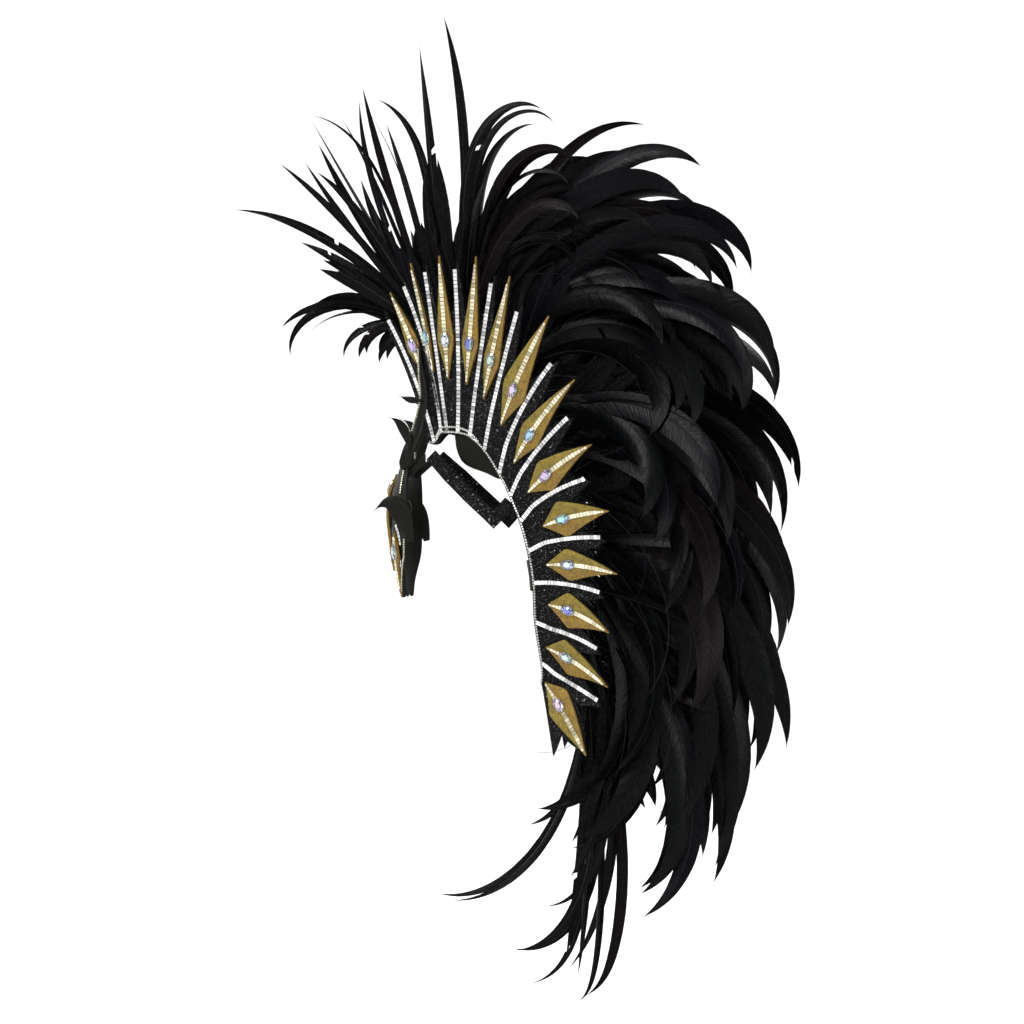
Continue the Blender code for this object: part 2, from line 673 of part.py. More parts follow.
def mask_frame(row, across):
    down = mask_point(row + 0.05, across) - mask_point(row - 0.05, across)
    beside = mask_point(row, across + 0.02) - mask_point(row, across - 0.02)
    normal = down.cross(beside).normalized()
    if normal.x > 0:
        normal = -normal
    return mask_point(row, across), normal


def mask_row(up):
    """Place down the mask's rows of a height given as a share of MASK_HEIGHT."""
    heights = MASK.columns["up"]
    for i in range(len(heights) - 1):
        if heights[i + 1] <= up <= heights[i]:
            return i + (heights[i] - up) / (heights[i] - heights[i + 1])
    return 0.0


def make_arm():
    """Slim arm of the mask that rises over the side of the crest."""
    rings = []
    rows = named(ARM_COLUMNS, ARM_ROWS)
    route = [Vector((row["back"] * ARM_FORWARD, -row["half"] * ARM_HALF, row["up"] * ARM_RISE))
             for row in rows]
    for row, ring in zip(rows, band_route(route, 1.0, MASK_WALL, False)):
        inner = (ring[0] + ring[1]) / 2
        outer = (ring[2] + ring[3]) / 2
        across = (ring[1] - ring[0]).normalized() * ARM_WIDTH * row["width"] / 2
        rings.append([inner - across, inner + across, outer + across, outer - across])
    return bar("arm", rings, glitter_board())


def make_face_mask():
    """Brow, nose guard and cheek guards in one board, with its arms fused on."""
    outer = []
    inner = []
    for i in range(len(MASK_ROWS)):
        outer_row = []
        inner_row = []
        for across in MASK_ACROSS:
            point, normal = mask_frame(i, across)
            outer_row.append(point)
            inner_row.append(point - normal * MASK_WALL)
        outer.append(outer_row)
        inner.append(inner_row)
    mask = walled("face_mask", outer, inner, glitter_board(), [row[4] for row in MASK_ROWS])
    left = make_arm()
    right = mirrored(left, "arm_right")
    return fuse(mask, [left, right])


def make_mask_kite(row):
    """Gold kite that follows the mask, with its stone."""
    middle = row["middle"]
    widest = row["widest"]
    bottom = row["bottom"]
    outer = []
    inner = []
    between = [up for up in MASK.columns["up"] if bottom + 0.02 < up < widest - 0.02]
    stations = [(row["top"], 0.03), (widest, 1.0)]
    stations += [(up, (up - bottom) / (widest - bottom)) for up in between]
    stations.append((bottom, 0.05))
    for up, share in stations:
        outer_row = []
        inner_row = []
        for side in (-1.0, 0.0, 1.0):
            point, normal = mask_frame(mask_row(up), middle + side * row["breadth"] * share)
            inner_row.append(point + normal * SEAT_GAP)
            outer_row.append(point + normal * (SEAT_GAP + KITE_WALL))
        outer.append(outer_row)
        inner.append(inner_row)
    kite = walled("mask_kite_" + row["name"], outer, inner, gold_glitter())
    seat = mask_row(row["stone"])
    point, normal = mask_frame(seat, middle)
    down = mask_point(seat + 0.1, middle) - mask_point(seat - 0.1, middle)
    stone = make_stone(point + normal * (SEAT_GAP + KITE_WALL * STONE_SEAT), normal, -down.normalized())
    return fuse(kite, [stone])


def make_horn(row):
    """Flat curved horn of black board, on the outside of the mask or its arm."""
    root = Vector((row["root_back"] * ARM_FORWARD, 0.0, row["root_up"] * MASK_HEIGHT))
    bend = Vector((row["bend_back"] * ARM_FORWARD, 0.0, row["bend_up"] * MASK_HEIGHT))
    tip = Vector((row["tip_back"] * ARM_FORWARD, 0.0, row["tip_up"] * MASK_HEIGHT))
    aside = Vector((0.0, -row["half"] * MASK_HALF, 0.0))
    wall = Vector((0.0, -HORN_WALL, 0.0))
    rings = []
    for share in HORN_SHARES:
        middle = root * (1 - share) ** 2 + bend * 2 * share * (1 - share) + tip * share ** 2
        ahead = ((bend - root) * (1 - share) + (tip - bend) * share).normalized()
        half = row["breadth"] * HORN_BREADTH / 2 * (1 - share ** HORN_TAPER)
        across = ahead.cross(Vector((0.0, 1.0, 0.0))) * half
        rings.append([middle + aside - across, middle + aside + across,
                      middle + aside + across + wall, middle + aside - across + wall])
    return pointed("horn_%s_left" % row["name"], rings, tip + aside + wall / 2, glitter_board())


def strap_route():
    """Middle line of the left side strap."""
    return [Vector((row["back"] * STRAP_FORWARD, -row["half"] * STRAP_HALF, row["up"] * STRAP_DROP))
            for row in named(STRAP_COLUMNS, STRAP_ROWS)]


def make_forehead_band():
    """Band behind the brow of the mask, whose ends reach back to the side straps."""
    row = mask_row(BAND_UP)
    route = []
    for across in BAND_ACROSS:
        point, normal = mask_frame(row, across)
        route.append(point - normal * (MASK_WALL + BAND_STANDOFF))
    end = strap_route()[0] - Vector((GAP + STRAP_WIDTH * BAND_END_BACK, 0.0, STRAP_WIDTH * BAND_END_DOWN))
    route = [end] + route + [Vector((end.x, -end.y, end.z))]
    return bar("forehead_band", band_route(route, BAND_WIDTH, BAND_WALL, True), glitter_board())


def make_side_strap():
    """Flat band from the forehead down and back to a V, and up to the rim behind the crown."""
    return bar("side_strap_left", band_route(strap_route(), STRAP_WIDTH, BAND_WALL, False), glitter_board())


def make_nape_band():
    """Band across the nape between the two rims."""
    outer = []
    inner = []
    for up in (-NAPE_BAND_TOP, -NAPE_BAND_TOP - NAPE_BAND_HEIGHT / 2, -NAPE_BAND_TOP - NAPE_BAND_HEIGHT):
        place = min((abs(crest_point(p / 20, 0.0).z - up), p / 20) for p in range(160, 260))[1]
        point, normal, ray = crest_frame(place, NAPE_BAND_SEAT)
        half = -point.y - PANEL_WALL / 2 / abs(normal.y) - GAP
        for rows, wall in ((outer, BAND_WALL), (inner, 0.0)):
            row = []
            for across in NAPE_BAND_ACROSS:
                swell = NAPE_BAND_SWELL * (1 - across ** 2)
                row.append(Vector((point.x - swell + wall, half * across, up)))
            rows.append(row)
    return walled("nape_band", outer, inner, glitter_board())


def fin_top(place, rise):
    """Point above the fin's top edge, on the middle plane."""
    point = crest_point(place, CREST.at("reach", place) * RAY_REACH * FIN_SHARE + rise)
    return Vector((point.x, 0.0, point.z))


def make_lock(row):
    """One lock of a plume: a flat blade that leaves the fin, curls over and runs out in a point."""
    length = row["length"] * PLUME_LENGTH
    breadth = row["breadth"] * PLUME_BREADTH
    late = row["late"]
    point = fin_top(row["root"], GAP + BACKING_RISE - LOCK_SINK)
    path = [(point.copy(), math.radians(row["lean"]))]
    for i in range(LOCK_STEPS):
        share = (i + 0.5) / LOCK_STEPS
        turn = (1 - late) * share + late * share ** LOCK_LATE
        angle = math.radians(row["lean"] + row["curl"] * turn)
        point = point + Vector((math.sin(angle), 0.0, math.cos(angle))) * length / LOCK_STEPS
        aside = row["side"] * PLUME_SPREAD * ((i + 1) / LOCK_STEPS) ** LOCK_FLARE
        path.append((point + Vector((0.0, aside, 0.0)), angle))
    rings = []
    for share, swell in zip(LOCK_RINGS, LOCK_SWELL):
        middle, angle = path[round(share * LOCK_STEPS)]
        across = Vector((math.cos(angle), 0.0, -math.sin(angle))) * breadth * swell / 2
        thick = Vector((0.0, breadth * swell * LOCK_FLAT / 2, 0.0))
        rings.append([middle - across, middle + thick, middle + across, middle - thick])
    return pointed("lock", rings, path[-1][0], black_feather())


def make_plume(name, rows):
    """Locks fused to the backing that sits on the fin's top edge."""
    first = min(row["root"] for row in rows) - BACKING_END
    last = max(row["root"] for row in rows) + BACKING_END
    rings = []
    for i in range(BACKING_STEPS + 1):
        place = first + (last - first) * i / BACKING_STEPS
        low = fin_top(place, GAP)
        high = fin_top(place, GAP + BACKING_RISE)
        half = Vector((0.0, FIN_WALL / 2, 0.0))
        rings.append([low - half, low + half, high + half, high - half])
    return fuse(bar(name, rings, black_feather()), [make_lock(row) for row in rows])


def main():
    for old in list(bpy.data.objects):
        bpy.data.objects.remove(old)
    mirrored(make_side_panel(), "side_panel_right")
    mirrored(make_edge_trim(), "edge_trim_right")
    for spike in range(1, SPIKES + 1):
        mirrored(make_kite(spike), "kite_right_%02d" % spike)
    make_crown_pad()
    make_crest_base()
    make_forehead_band()
    mirrored(make_side_strap(), "side_strap_right")
    make_nape_band()
    make_face_mask()
    nose, cheek = named(MASK_KITE_COLUMNS, MASK_KITE_ROWS)
    make_mask_kite(nose)
    mirrored(make_mask_kite(cheek), "mask_kite_cheek_right")
    for row in named(HORN_COLUMNS, HORN_ROWS):
        mirrored(make_horn(row), "horn_%s_right" % row["name"])
    for name, rows in PLUMES.items():
        make_plume(name, named(LOCK_COLUMNS, rows))


main()
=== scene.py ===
"""Looks of the feathered headdress: glitter boards, gold kites, mirror tiles, stones, mask and feathers.

Metres, +Z up. The wearer looks along -X, and the wearer's left is -Y, which is the side in view.
"""
import math
import random

import bmesh
import bpy
import numpy as np
from mathutils import Matrix, Vector


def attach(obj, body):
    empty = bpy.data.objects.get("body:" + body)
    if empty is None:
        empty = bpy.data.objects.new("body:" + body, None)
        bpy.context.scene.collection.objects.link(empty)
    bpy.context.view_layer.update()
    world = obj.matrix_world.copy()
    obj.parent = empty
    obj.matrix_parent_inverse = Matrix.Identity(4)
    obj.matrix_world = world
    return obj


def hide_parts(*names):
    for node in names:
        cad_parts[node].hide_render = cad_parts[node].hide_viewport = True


# Boards
PANEL_WALL = 0.004
PAD_WALL = 0.003
BAND_WALL = 0.002
MASK_WALL = 0.003
SEAT_GAP = 0.0009
BOARD_ROUND = 0.0007    # radius on the boards' cut edges
WELD = 0.000005
CREASE = 50.0           # degrees past which an edge stays sharp in the shading

# Side panels
RIM_DEPTH = 0.100
NAPE_DROP = 0.400
RIM_HALF = 0.057
RAY_REACH = 0.215
TIP_HALF = 0.106
VALLEY_SHARE = 0.66
BACKING_MARGIN = 0.003
TAIL_OUTLINE = ((0.72, 0.80), (0.88, 0.93))
PANEL_SPLITS = 6        # cells between two corners of the outline
PANEL_CELLS = 18        # cells along a ray

# One row for each spike and its kite: back as a share of RIM_DEPTH, up of NAPE_DROP, half of RIM_HALF, lean
# in degrees, reach and kite_reach of RAY_REACH, tip of TIP_HALF, bow of the ray's length, kite_root of the
# kite's reach, and kite_fill of the room between two strips
CREST_COLUMNS = ("back", "up", "half", "lean", "reach", "tip", "bow",
                 "kite_reach", "kite_root", "kite_fill")
CREST_ROWS = (
    (-0.65, -0.045, 0.07, -19.0, 0.64, 0.045, 0.030, 0.90, 0.50, 0.95),
    (-0.54, -0.050, 0.17, -20.8, 0.84, 0.11, 0.035, 0.90, 0.45, 0.80),
    (-0.44, -0.020, 0.33, -13.9, 0.95, 0.29, 0.040, 1.00, 0.36, 0.98),
    (-0.35, -0.020, 0.47, -6.4, 1.00, 0.49, 0.000, 1.02, 0.31, 1.00),
    (-0.21, -0.022, 0.61, 1.0, 1.00, 0.65, 0.010, 1.02, 0.29, 1.00),
    (-0.05, -0.035, 0.75, 10.9, 0.94, 0.82, -0.005, 0.97, 0.27, 1.00),
    (0.14, -0.078, 0.89, 16.9, 0.86, 0.94, -0.010, 0.90, 0.25, 1.00),
    (0.33, -0.150, 0.98, 30.0, 0.74, 1.00, -0.050, 0.74, 0.20, 1.00),
    (0.46, -0.218, 1.00, 41.3, 0.60, 0.98, -0.040, 0.60, 0.22, 1.00),
    (0.58, -0.295, 0.98, 61.8, 0.49, 0.94, -0.060, 0.54, 0.26, 1.00),
    (0.67, -0.383, 0.95, 83.0, 0.48, 0.89, -0.045, 0.53, 0.20, 1.00),
    (0.73, -0.480, 0.89, 100.5, 0.44, 0.82, -0.060, 0.49, 0.20, 0.95),
    (0.75, -0.600, 0.82, 114.5, 0.44, 0.73, -0.060, 0.49, 0.13, 0.95),
    (0.82, -0.723, 0.75, 125.0, 0.44, 0.64, -0.030, 0.53, 0.10, 0.85),
    (0.84, -0.788, 0.72, 170.0, 0.42, 0.52, 0.000, 0.53, 0.10, 0.85),
)
SPIKES = len(CREST_ROWS) - 2

# Kites, strips, stones and chains
KITE_WALL = 0.003
KITE_WIDEST = 0.32
KITE_CLEARANCE = 0.0010
KITE_STATIONS = 20
KITE_POINT = 0.0012     # width of a kite at its two points
KITE_ROUND = 0.0005
KITE_LINE = (0.02, 0.94)   # shares of a kite between which its strip runs
KITE_LINE_STEPS = 12
# Places in a kite's list of finishes, whose first is the gold
KITE_TILE = 1
KITE_GEM = 2
KITE_SETTING = 3
STRIP_WIDTH = 0.0072    # room that a strip takes between two kites
STRIP_TILE = 0.0054     # width of its tiles
STRIP_END = 0.94
STRIP_STEPS = 24
STRIP_DRIFT = 0.07
STRIP_KNEES = (0.0, 0.0, 0.0, 0.0, 0.03, 0.05, 0.10, 0.10, 0.10, 0.08, 0.0, -0.06, -0.08)  # in spikes
KNEE_SHARE = 0.22       # share of a strip below its knee
KITE_STRIP_WIDTH = 0.0056
TILE_LENGTH = 0.0047
TILE_JOINT = 0.00035
TILE_HEIGHT = 0.0013
TILE_BEVEL = 0.0004
TILE_TILT = 2.6         # degrees, at most, that a tile lies askew
TILE_PAINTED_REFLECTION = 0.45       # painted reflection: below 1 most tiles are painted bright, with a darker one here and there
STONE_LENGTH = 0.0200
STONE_WIDTH = 0.0120
STONE_HEIGHT = 0.0042
STONE_SIDES = 16
# Rings of a stone from its seat up, as shares of its width and height: four of the setting, then the
# crown's girdle, shoulder and table
STONE_RINGS = ((0.985, 0.0), (1.04, 0.18), (1.0, 0.42), (0.93, 0.46), (0.90, 0.52), (0.70, 0.80),
               (0.46, 1.0))
STONE_TINTS = ((0.22, 0.36, 0.52), (0.42, 0.28, 0.56), (0.26, 0.52, 0.46), (0.50, 0.56, 0.60),
               (0.10, 0.12, 0.46), (0.40, 0.54, 0.44), (0.56, 0.42, 0.54))
# Painted glints: how bright each facet of an oval stone is painted, chosen at random
PAINTED_FACET_GLINTS = (0.10, 0.30, 0.65, 1.0)
ARCH_START = 1.3        # second row of chain over the arch: its places along the rim and its distance
ARCH_END = 5.6
ARCH_GAP = 0.0062
CHAIN_PITCH = 0.0034
CHAIN_STONE = 0.0028
CHAIN_INSET = 0.0035
CHAIN_SIDES = 8
CHAIN_SEAT = 0.8        # distance of the rim's chain from the rim, as a share of CHAIN_INSET
RIM_START = 0.4         # place along the rim where its chain begins
RIM_STEPS = 160
ARCH_STEPS = 60
# Rings of a chain stone in its cup, as shares of its size: radius and height
CHAIN_RINGS = ((0.50, 0.0), (0.54, 0.36), (0.42, 0.44), (0.38, 0.62), (0.20, 0.86))
# Painted glints: how bright each facet of a chain stone is painted, chosen at random
PAINTED_CHAIN_GLINTS = (0.12, 0.45, 0.75, 0.95)
SETTING_TINT = (0.5, 0.5, 0.5, 1.0)

# Bands
STRAP_WIDTH = 0.0165
STRAP_FORWARD = 0.060
STRAP_DROP = 0.114
STRAP_HALF = 0.066
STRAP_COLUMNS = ("back", "up", "half")
STRAP_ROWS = (
    (-0.95, -0.30, 0.46),
    (-0.52, -0.52, 0.84),
    (-0.05, -0.76, 0.97),
    (0.45, -1.00, 1.00),
    (0.62, -0.90, 0.88),
    (0.76, -0.81, 0.81),
)
FOREHEAD_WIDTH = 0.012
FOREHEAD_UP = -0.26
BAND_STANDOFF = 0.0039
BAND_ROUND = 0.0003
# Section of a band: place as a share of its width, height as a share of its wall
BAND_SECTION = ((-0.50, 0.30), (-0.40, 0.46), (-0.20, 0.52), (0.0, 0.54), (0.20, 0.52), (0.40, 0.46),
                (0.50, 0.30))
BAND_END_BACK = 0.37    # where the forehead band meets a side strap, as shares of STRAP_WIDTH
BAND_END_DOWN = 0.25

# Crown pad
PAD_LAP = 0.002
PAD_ARCH = 0.006
PAD_DROP = 0.034
PAD_HEM = 0.002
PAD_SKEW = 0.66
PAD_ROUND = 0.8
PAD_FLAP = 0.86         # share of the pad's length that the flap takes
PAD_START = 3.6
PAD_END = 7.6
PAD_STATIONS = 49
PAD_STEPS = 18
PAD_SIDE_STEPS = 6
GAP = 0.0005
PIPING = 0.0007         # radius of the silver cord on the pad's hem

# Mask
MASK_HEIGHT = 0.215
MASK_FRONT = 0.114
MASK_SIDE = 0.086
MASK_HALF = 0.056
MASK_ROUND = 2.2
MASK_CELLS = 72         # cells across and down the mask
MASK_COLUMNS = ("up", "front", "side", "half")
MASK_ROWS = (
    (-0.13, 0.83, 0.97, 0.40),
    (-0.22, 0.88, 0.98, 0.72),
    (-0.31, 0.93, 0.98, 0.90),
    (-0.41, 0.99, 0.98, 1.00),
    (-0.53, 1.00, 0.98, 1.00),
    (-0.61, 0.985, 0.98, 0.97),
    (-0.71, 0.965, 0.98, 0.92),
    (-0.81, 0.94, 0.98, 0.84),
    (-0.91, 0.91, 0.97, 0.76),
    (-1.00, 0.88, 0.96, 0.68),
)
# Outline of the mask's right half, as shares of its half width and of its height: nose guard, eye, cheek
# guard and edge
MASK_OUTLINE = (
    (0.00, -0.83), (0.10, -0.82), (0.15, -0.76), (0.13, -0.62), (0.13, -0.50), (0.18, -0.43),
    (0.36, -0.405), (0.60, -0.405), (0.80, -0.43), (0.80, -0.50), (0.64, -0.55), (0.48, -0.58),
    (0.38, -0.63), (0.36, -0.72), (0.37, -0.84), (0.42, -0.93), (0.50, -1.00), (0.60, -0.96),
    (0.74, -1.00), (0.82, -0.90), (0.93, -0.82), (1.00, -0.74), (1.00, -0.60), (1.00, -0.40),
    (1.00, -0.13),
)
# Chains on the mask, whose stones are the yellower the less their warmth is
PEARL_PITCH = 0.0031
PEARL_STONE = 0.0026
ARM_PEARL_PITCH = 0.0030
ARM_PEARL_STONE = 0.0024
PEARL_WARMTH = 0.7
MASK_STRIP_WIDTH = 0.0048
# Trims on the mask's left half: kind, and places as pairs of height and share of the half width
MASK_TRIMS = (
    ("chain", ((-0.14, -0.90), (-0.22, -0.86), (-0.30, -0.84), (-0.395, -0.84))),
    ("chain", ((-0.64, -0.96), (-0.74, -0.94), (-0.86, -0.80), (-0.95, -0.70), (-0.985, -0.56))),
    ("strip", ((-0.56, -0.72), (-0.62, -0.80), (-0.69, -0.83))),
    ("strip", ((-0.76, -0.80), (-0.82, -0.74), (-0.90, -0.62))),
)
MASK_KITE_COLUMNS = ("name", "middle", "top", "widest", "bottom", "breadth", "stone")
MASK_KITE_ROWS = (
    ("nose", 0.0, -0.27, -0.38, -0.83, 0.30, -0.35),
    ("cheek_left", -0.70, -0.60, -0.74, -0.96, 0.13, -0.72),
)
MASK_KITE_STATIONS = 24
ARM_RISE = 0.101
ARM_FORWARD = 0.086
ARM_HALF = 0.040
ARM_WIDTH = 0.015
ARM_COLUMNS = ("back", "half", "up", "width")
ARM_ROWS = (
    (-1.07, 0.93, -0.52, 0.90),
    (-0.98, 1.00, -0.30, 1.00),
    (-0.86, 0.80, 0.00, 0.90),
    (-0.78, 0.69, 0.35, 0.72),
    (-0.81, 0.70, 0.65, 0.52),
    (-0.85, 0.72, 1.00, 0.10),
)
ARM_HEEL = 0.09         # share of the arm over which its lower end is rounded
ARM_STATIONS = 44
ARM_CHAIN = (0.36, 0.98)   # shares of the arm between which its chain runs
BLADE_SIDES = 12
HORN_WALL = 0.003
HORN_BREADTH = 0.020
HORN_TAPER = 3.6
HORN_ROOT = 0.20        # width at the root, as a share of the breadth
HORN_STATIONS = 28
# Root, bend and tip of a horn's middle line: back as a share of ARM_FORWARD, up of MASK_HEIGHT, half of
# MASK_HALF and breadth of HORN_BREADTH
HORN_COLUMNS = ("name", "half", "root_back", "root_up", "bend_back", "bend_up",
                "tip_back", "tip_up", "breadth")
HORN_ROWS = (
    ("small", 0.545, -0.80, 0.16, -0.98, 0.15, -1.14, 0.19, 0.40),
    ("brow", 0.75, -0.95, -0.12, -1.02, 0.04, -1.27, 0.06, 0.60),
    ("cheek", 1.009, -0.90, -0.66, -1.10, -0.33, -1.46, -0.49, 1.25),
)

# Plumes
PLUME_LENGTH = 0.500
PLUME_BREADTH = 0.048
PLUME_SPREAD = 0.120
FIN_SHARE = 0.62
LOCK_LATE = 4.5
LOCK_FLARE = 1.3
BARE_SIDE = 0.52        # how far aside the bare quills stand, as a share of the spread
SIDE_EASE = 0.075       # past this the feathers bend toward the limit of their spread
SIDE_LIMIT = 0.127
DROP_EASE = 0.640
DROP_LIMIT = 0.730
BARB_SWEEP = 0.52       # how far a barb runs ahead, over the feather's breadth
BARB_LINES = 60
BARB_UNEVEN = 0.035     # how much shorter than its neighbours a barb may be
VANE_PARTS = ((-1.0, 0.44), (1.0, 0.56))   # side of a vane and its share of the breadth
TEAR_CHANCE = 0.4       # how often the broader vane is split
TEAR_PLACES = (14, 4)   # barb lines left whole at the root and at the tip
TEAR_DEPTH = (4, 8)     # barbs that a split bends back
TEAR_REACH = (0.004, 0.009)
VANE_SHARES = (0.0, 0.34, 0.68, 1.0)
ROUTE_STEPS = 48
QUILL_RADIUS = 0.0011
QUILL_SIDES = 5
QUILL_STATIONS = 22
# Painted highlights: greys added to a quill's colour, for the grey highlights along the shafts
QUILL_HIGHLIGHT_GREYS = (0.0, 0.006, 0.016, 0.030)
# Painted sheen: blue, green, brown and grey colours added into a feather's base colour along its barbs
FEATHER_SHEEN_COLOURS = ((0.0007, 0.0007, 0.0010), (0.0004, 0.0008, 0.0018), (0.0006, 0.0012, 0.0011),
                 (0.0034, 0.0012, 0.0010), (0.0008, 0.0008, 0.0010), (0.0005, 0.0005, 0.0008))
FEATHER_ROLL = 22.0     # degrees, the usual spread of how a feather lies and winds
FEATHER_TWIST = 24.0
FEATHER_CUP = (0.2, 0.9)

# One row for each bundle of feathers: root along the crest, side as a share of PLUME_SPREAD, lean and
# curl in degrees, late share of the curl, length of PLUME_LENGTH, breadth of one feather as a share of
# PLUME_BREADTH, feathers in the bundle, and how loosely they lie
BUNDLE_COLUMNS = ("root", "side", "lean", "curl", "late", "length", "breadth", "count", "loose")
BUNDLES = {
    "plume_front_droop": (
        (1.72, 0.04, -50, -62, 0.3, 0.33, 0.30, 1, 0.5),
        (1.76, 0.10, -46, -54, 0.2, 0.30, 0.42, 1, 0.5),
        (1.77, -0.03, -48, -92, 0.3, 0.40, 0.30, 2, 0.5),
        (1.82, 0.05, -44, -146, 0.4, 0.44, 0.26, 1, 0.5),
        (1.87, -0.05, -50, -135, 0.3, 0.26, 0.24, 2, 0.5),
        (1.92, 0.02, -48, -145, 0.3, 0.20, 0.24, 2, 0.5),
        (1.95, 0.06, -70, -110, 0.2, 0.16, 0.20, 2, 0.5),
    ),
    "plume_front_spray": (
        (2.20, 0.12, -37, -48, 0.2, 0.62, 0.24, 1, 0.0),
        (2.24, -0.10, -40, -36, 0.2, 0.55, 0.14, 1, 0.0),
        (2.20, -0.16, -52, -18, 0.2, 0.32, 0.34, 2, 0.4),
        (2.28, 0.20, -47, -20, 0.2, 0.42, 0.30, 2, 0.5),
        (2.30, 0.14, -35, -17, 0.2, 0.59, 0.20, 1, 0.0),
        (2.36, -0.22, -40, 8, 0.2, 0.53, 0.20, 1, 0.0),
        (2.42, 0.18, -36, 9, 0.2, 0.57, 0.26, 1, 0.0),
        (2.46, -0.12, -30, -25, 0.8, 0.50, 0.26, 1, 0.0),
        (2.50, 0.06, -30, -1, 0.0, 0.63, 0.18, 1, 0.0),
        (2.56, 0.24, -34, 16, 0.2, 0.44, 0.28, 2, 0.5),
        (2.62, -0.16, -30, 30, 0.3, 0.61, 0.18, 1, 0.0),
        (2.68, 0.10, -22, -10, 0.8, 0.60, 0.18, 1, 0.0),
        (2.80, -0.08, -21, 9, 0.2, 0.64, 0.22, 1, 0.0),
        (2.84, 0.02, -20, -62, 1.0, 0.66, 0.09, 1, 0.0),
        (2.95, 0.16, -9, -24, 0.3, 0.59, 0.06, 1, 0.0),
        (3.05, -0.18, -12, -6, 0.2, 0.53, 0.17, 1, 0.0),
        (3.15, 0.12, -6, -60, 1.0, 0.63, 0.22, 1, 0.0),
        (3.20, -0.06, -10, 6, 0.2, 0.40, 0.34, 2, 0.4),
        (3.30, 0.08, -6, 0, 0.0, 0.72, 0.28, 1, 0.0),
        (3.45, -0.20, -2, -4, 0.2, 0.42, 0.36, 2, 0.4),
        (3.70, 0.04, 6, -22, 0.3, 0.79, 0.26, 1, 0.0),
    ),
    "plume_top": (
        (3.85, -0.10, 0, 130, 1.00, 0.68, 0.36, 2, 0.2),
        (4.05, 0.12, 0, 150, 1.00, 0.69, 0.42, 2, 0.4),
        (4.15, -0.16, 3, 90, 1.00, 0.58, 0.46, 2, 0.4),
        (4.25, -0.35, 5, 150, 0.90, 0.60, 0.56, 4, 0.8),
        (4.45, 0.35, 8, 150, 0.80, 0.63, 0.60, 4, 0.8),
        (4.65, 0.10, 12, 95, 0.70, 0.72, 0.46, 4, 0.9),
        (4.85, -0.40, 17, 120, 0.60, 0.78, 0.66, 5, 0.9),
        (5.05, 0.50, 20, 130, 0.60, 0.72, 0.68, 5, 0.9),
        (5.30, 0.00, 24, 155, 0.50, 0.84, 0.76, 6, 0.9),
        (5.50, -0.75, 27, 140, 0.50, 0.76, 0.72, 5, 0.9),
    ),
    "plume_back_upper": (
        (5.90, 0.20, 46, 156, 0.45, 0.85, 0.82, 6, 0.9),
        (6.10, -0.60, 42, 145, 0.45, 0.80, 0.80, 6, 0.9),
        (6.35, 0.90, 50, 130, 0.45, 0.74, 0.76, 6, 0.9),
        (6.60, -0.25, 72, 126, 0.35, 0.86, 0.84, 6, 0.9),
        (6.90, 0.60, 62, 122, 0.35, 0.80, 0.80, 6, 0.9),
        (7.20, -0.90, 72, 110, 0.35, 0.72, 0.76, 6, 0.9),
    ),
    "plume_back_middle": (
        (7.70, 0.25, 92, 112, 0.35, 0.90, 0.84, 7, 0.9),
        (8.05, -0.55, 86, 106, 0.35, 0.82, 0.82, 7, 0.9),
        (8.40, 0.90, 98, 90, 0.35, 0.72, 0.80, 7, 0.9),
        (8.80, -0.20, 110, 94, 0.35, 0.93, 0.84, 7, 0.9),
        (9.20, 0.55, 110, 76, 0.35, 0.86, 0.82, 7, 0.9),
    ),
    "plume_back_lower": (
        (9.80, -0.25, 124, 84, 0.30, 0.96, 0.82, 7, 0.9),
        (10.30, 0.60, 132, 74, 0.40, 0.94, 0.80, 7, 0.9),
        (10.80, -0.50, 138, 104, 0.60, 0.94, 0.76, 7, 0.9),
        (11.30, 0.15, 136, 52, 0.40, 0.72, 0.72, 7, 0.9),
    ),
    "plume_tail": (
        (11.80, -0.40, 158, 60, 0.3, 0.64, 0.40, 2, 0.4),
        (12.00, 0.30, 164, 90, 0.9, 0.61, 0.30, 2, 0.3),
        (12.20, -0.15, 168, 100, 0.9, 0.72, 0.28, 1, 0.0),
        (12.40, 0.10, 172, 112, 0.9, 0.86, 0.26, 2, 0.2),
        (12.55, -0.25, 174, 96, 0.9, 0.80, 0.26, 2, 0.2),
        (12.70, 0.20, 160, 55, 0.4, 0.90, 0.30, 2, 0.3),
        (12.90, -0.10, 176, 12, 0.2, 0.74, 0.28, 2, 0.2),
        (13.05, 0.15, 170, 30, 0.4, 0.88, 0.26, 1, 0.0),
        (13.15, 0.05, 178, 70, 1.0, 0.80, 0.24, 1, 0.0),
    ),
}
SLIM_PLUMES = ("plume_front_droop", "plume_front_spray", "plume_tail")
# Short feathers that cover the roots, for each spike's space along the crest
UNDERLAY_COUNT = 7
UNDERLAY_LENGTH = (0.20, 0.40)
SPRAY_LENGTH = (0.20, 0.28)
UNDERLAY_BREADTH = 0.62
UNDERLAY_PAST = 0.2     # how far past the first and the last bundle they grow
UNDERLAY_SIDE = 0.35
UNDERLAY_LEAN = 7.0
UNDERLAY_CURL = (0.0, 50.0)
UNDERLAY_LATE = 0.3
UNDERLAY_SPREAD = (0.7, 1.1)
SPRAY_END = 4           # place along the rim where the spray at the front ends
SPRAY_CURL = (-14.0, 8.0)
SLIM_UNDERLAY = 0.7
# Bare quills beside the plumes
BARE_ROOT = 0.2
BARE_ASIDE = (0.5, 1.1)
BARE_LEAN = 6.0
BARE_CURL = 12.0
BARE_LENGTH = (0.5, 0.8)
HANG = 26.0             # degrees that the shorter, inner feathers of a bundle curl further
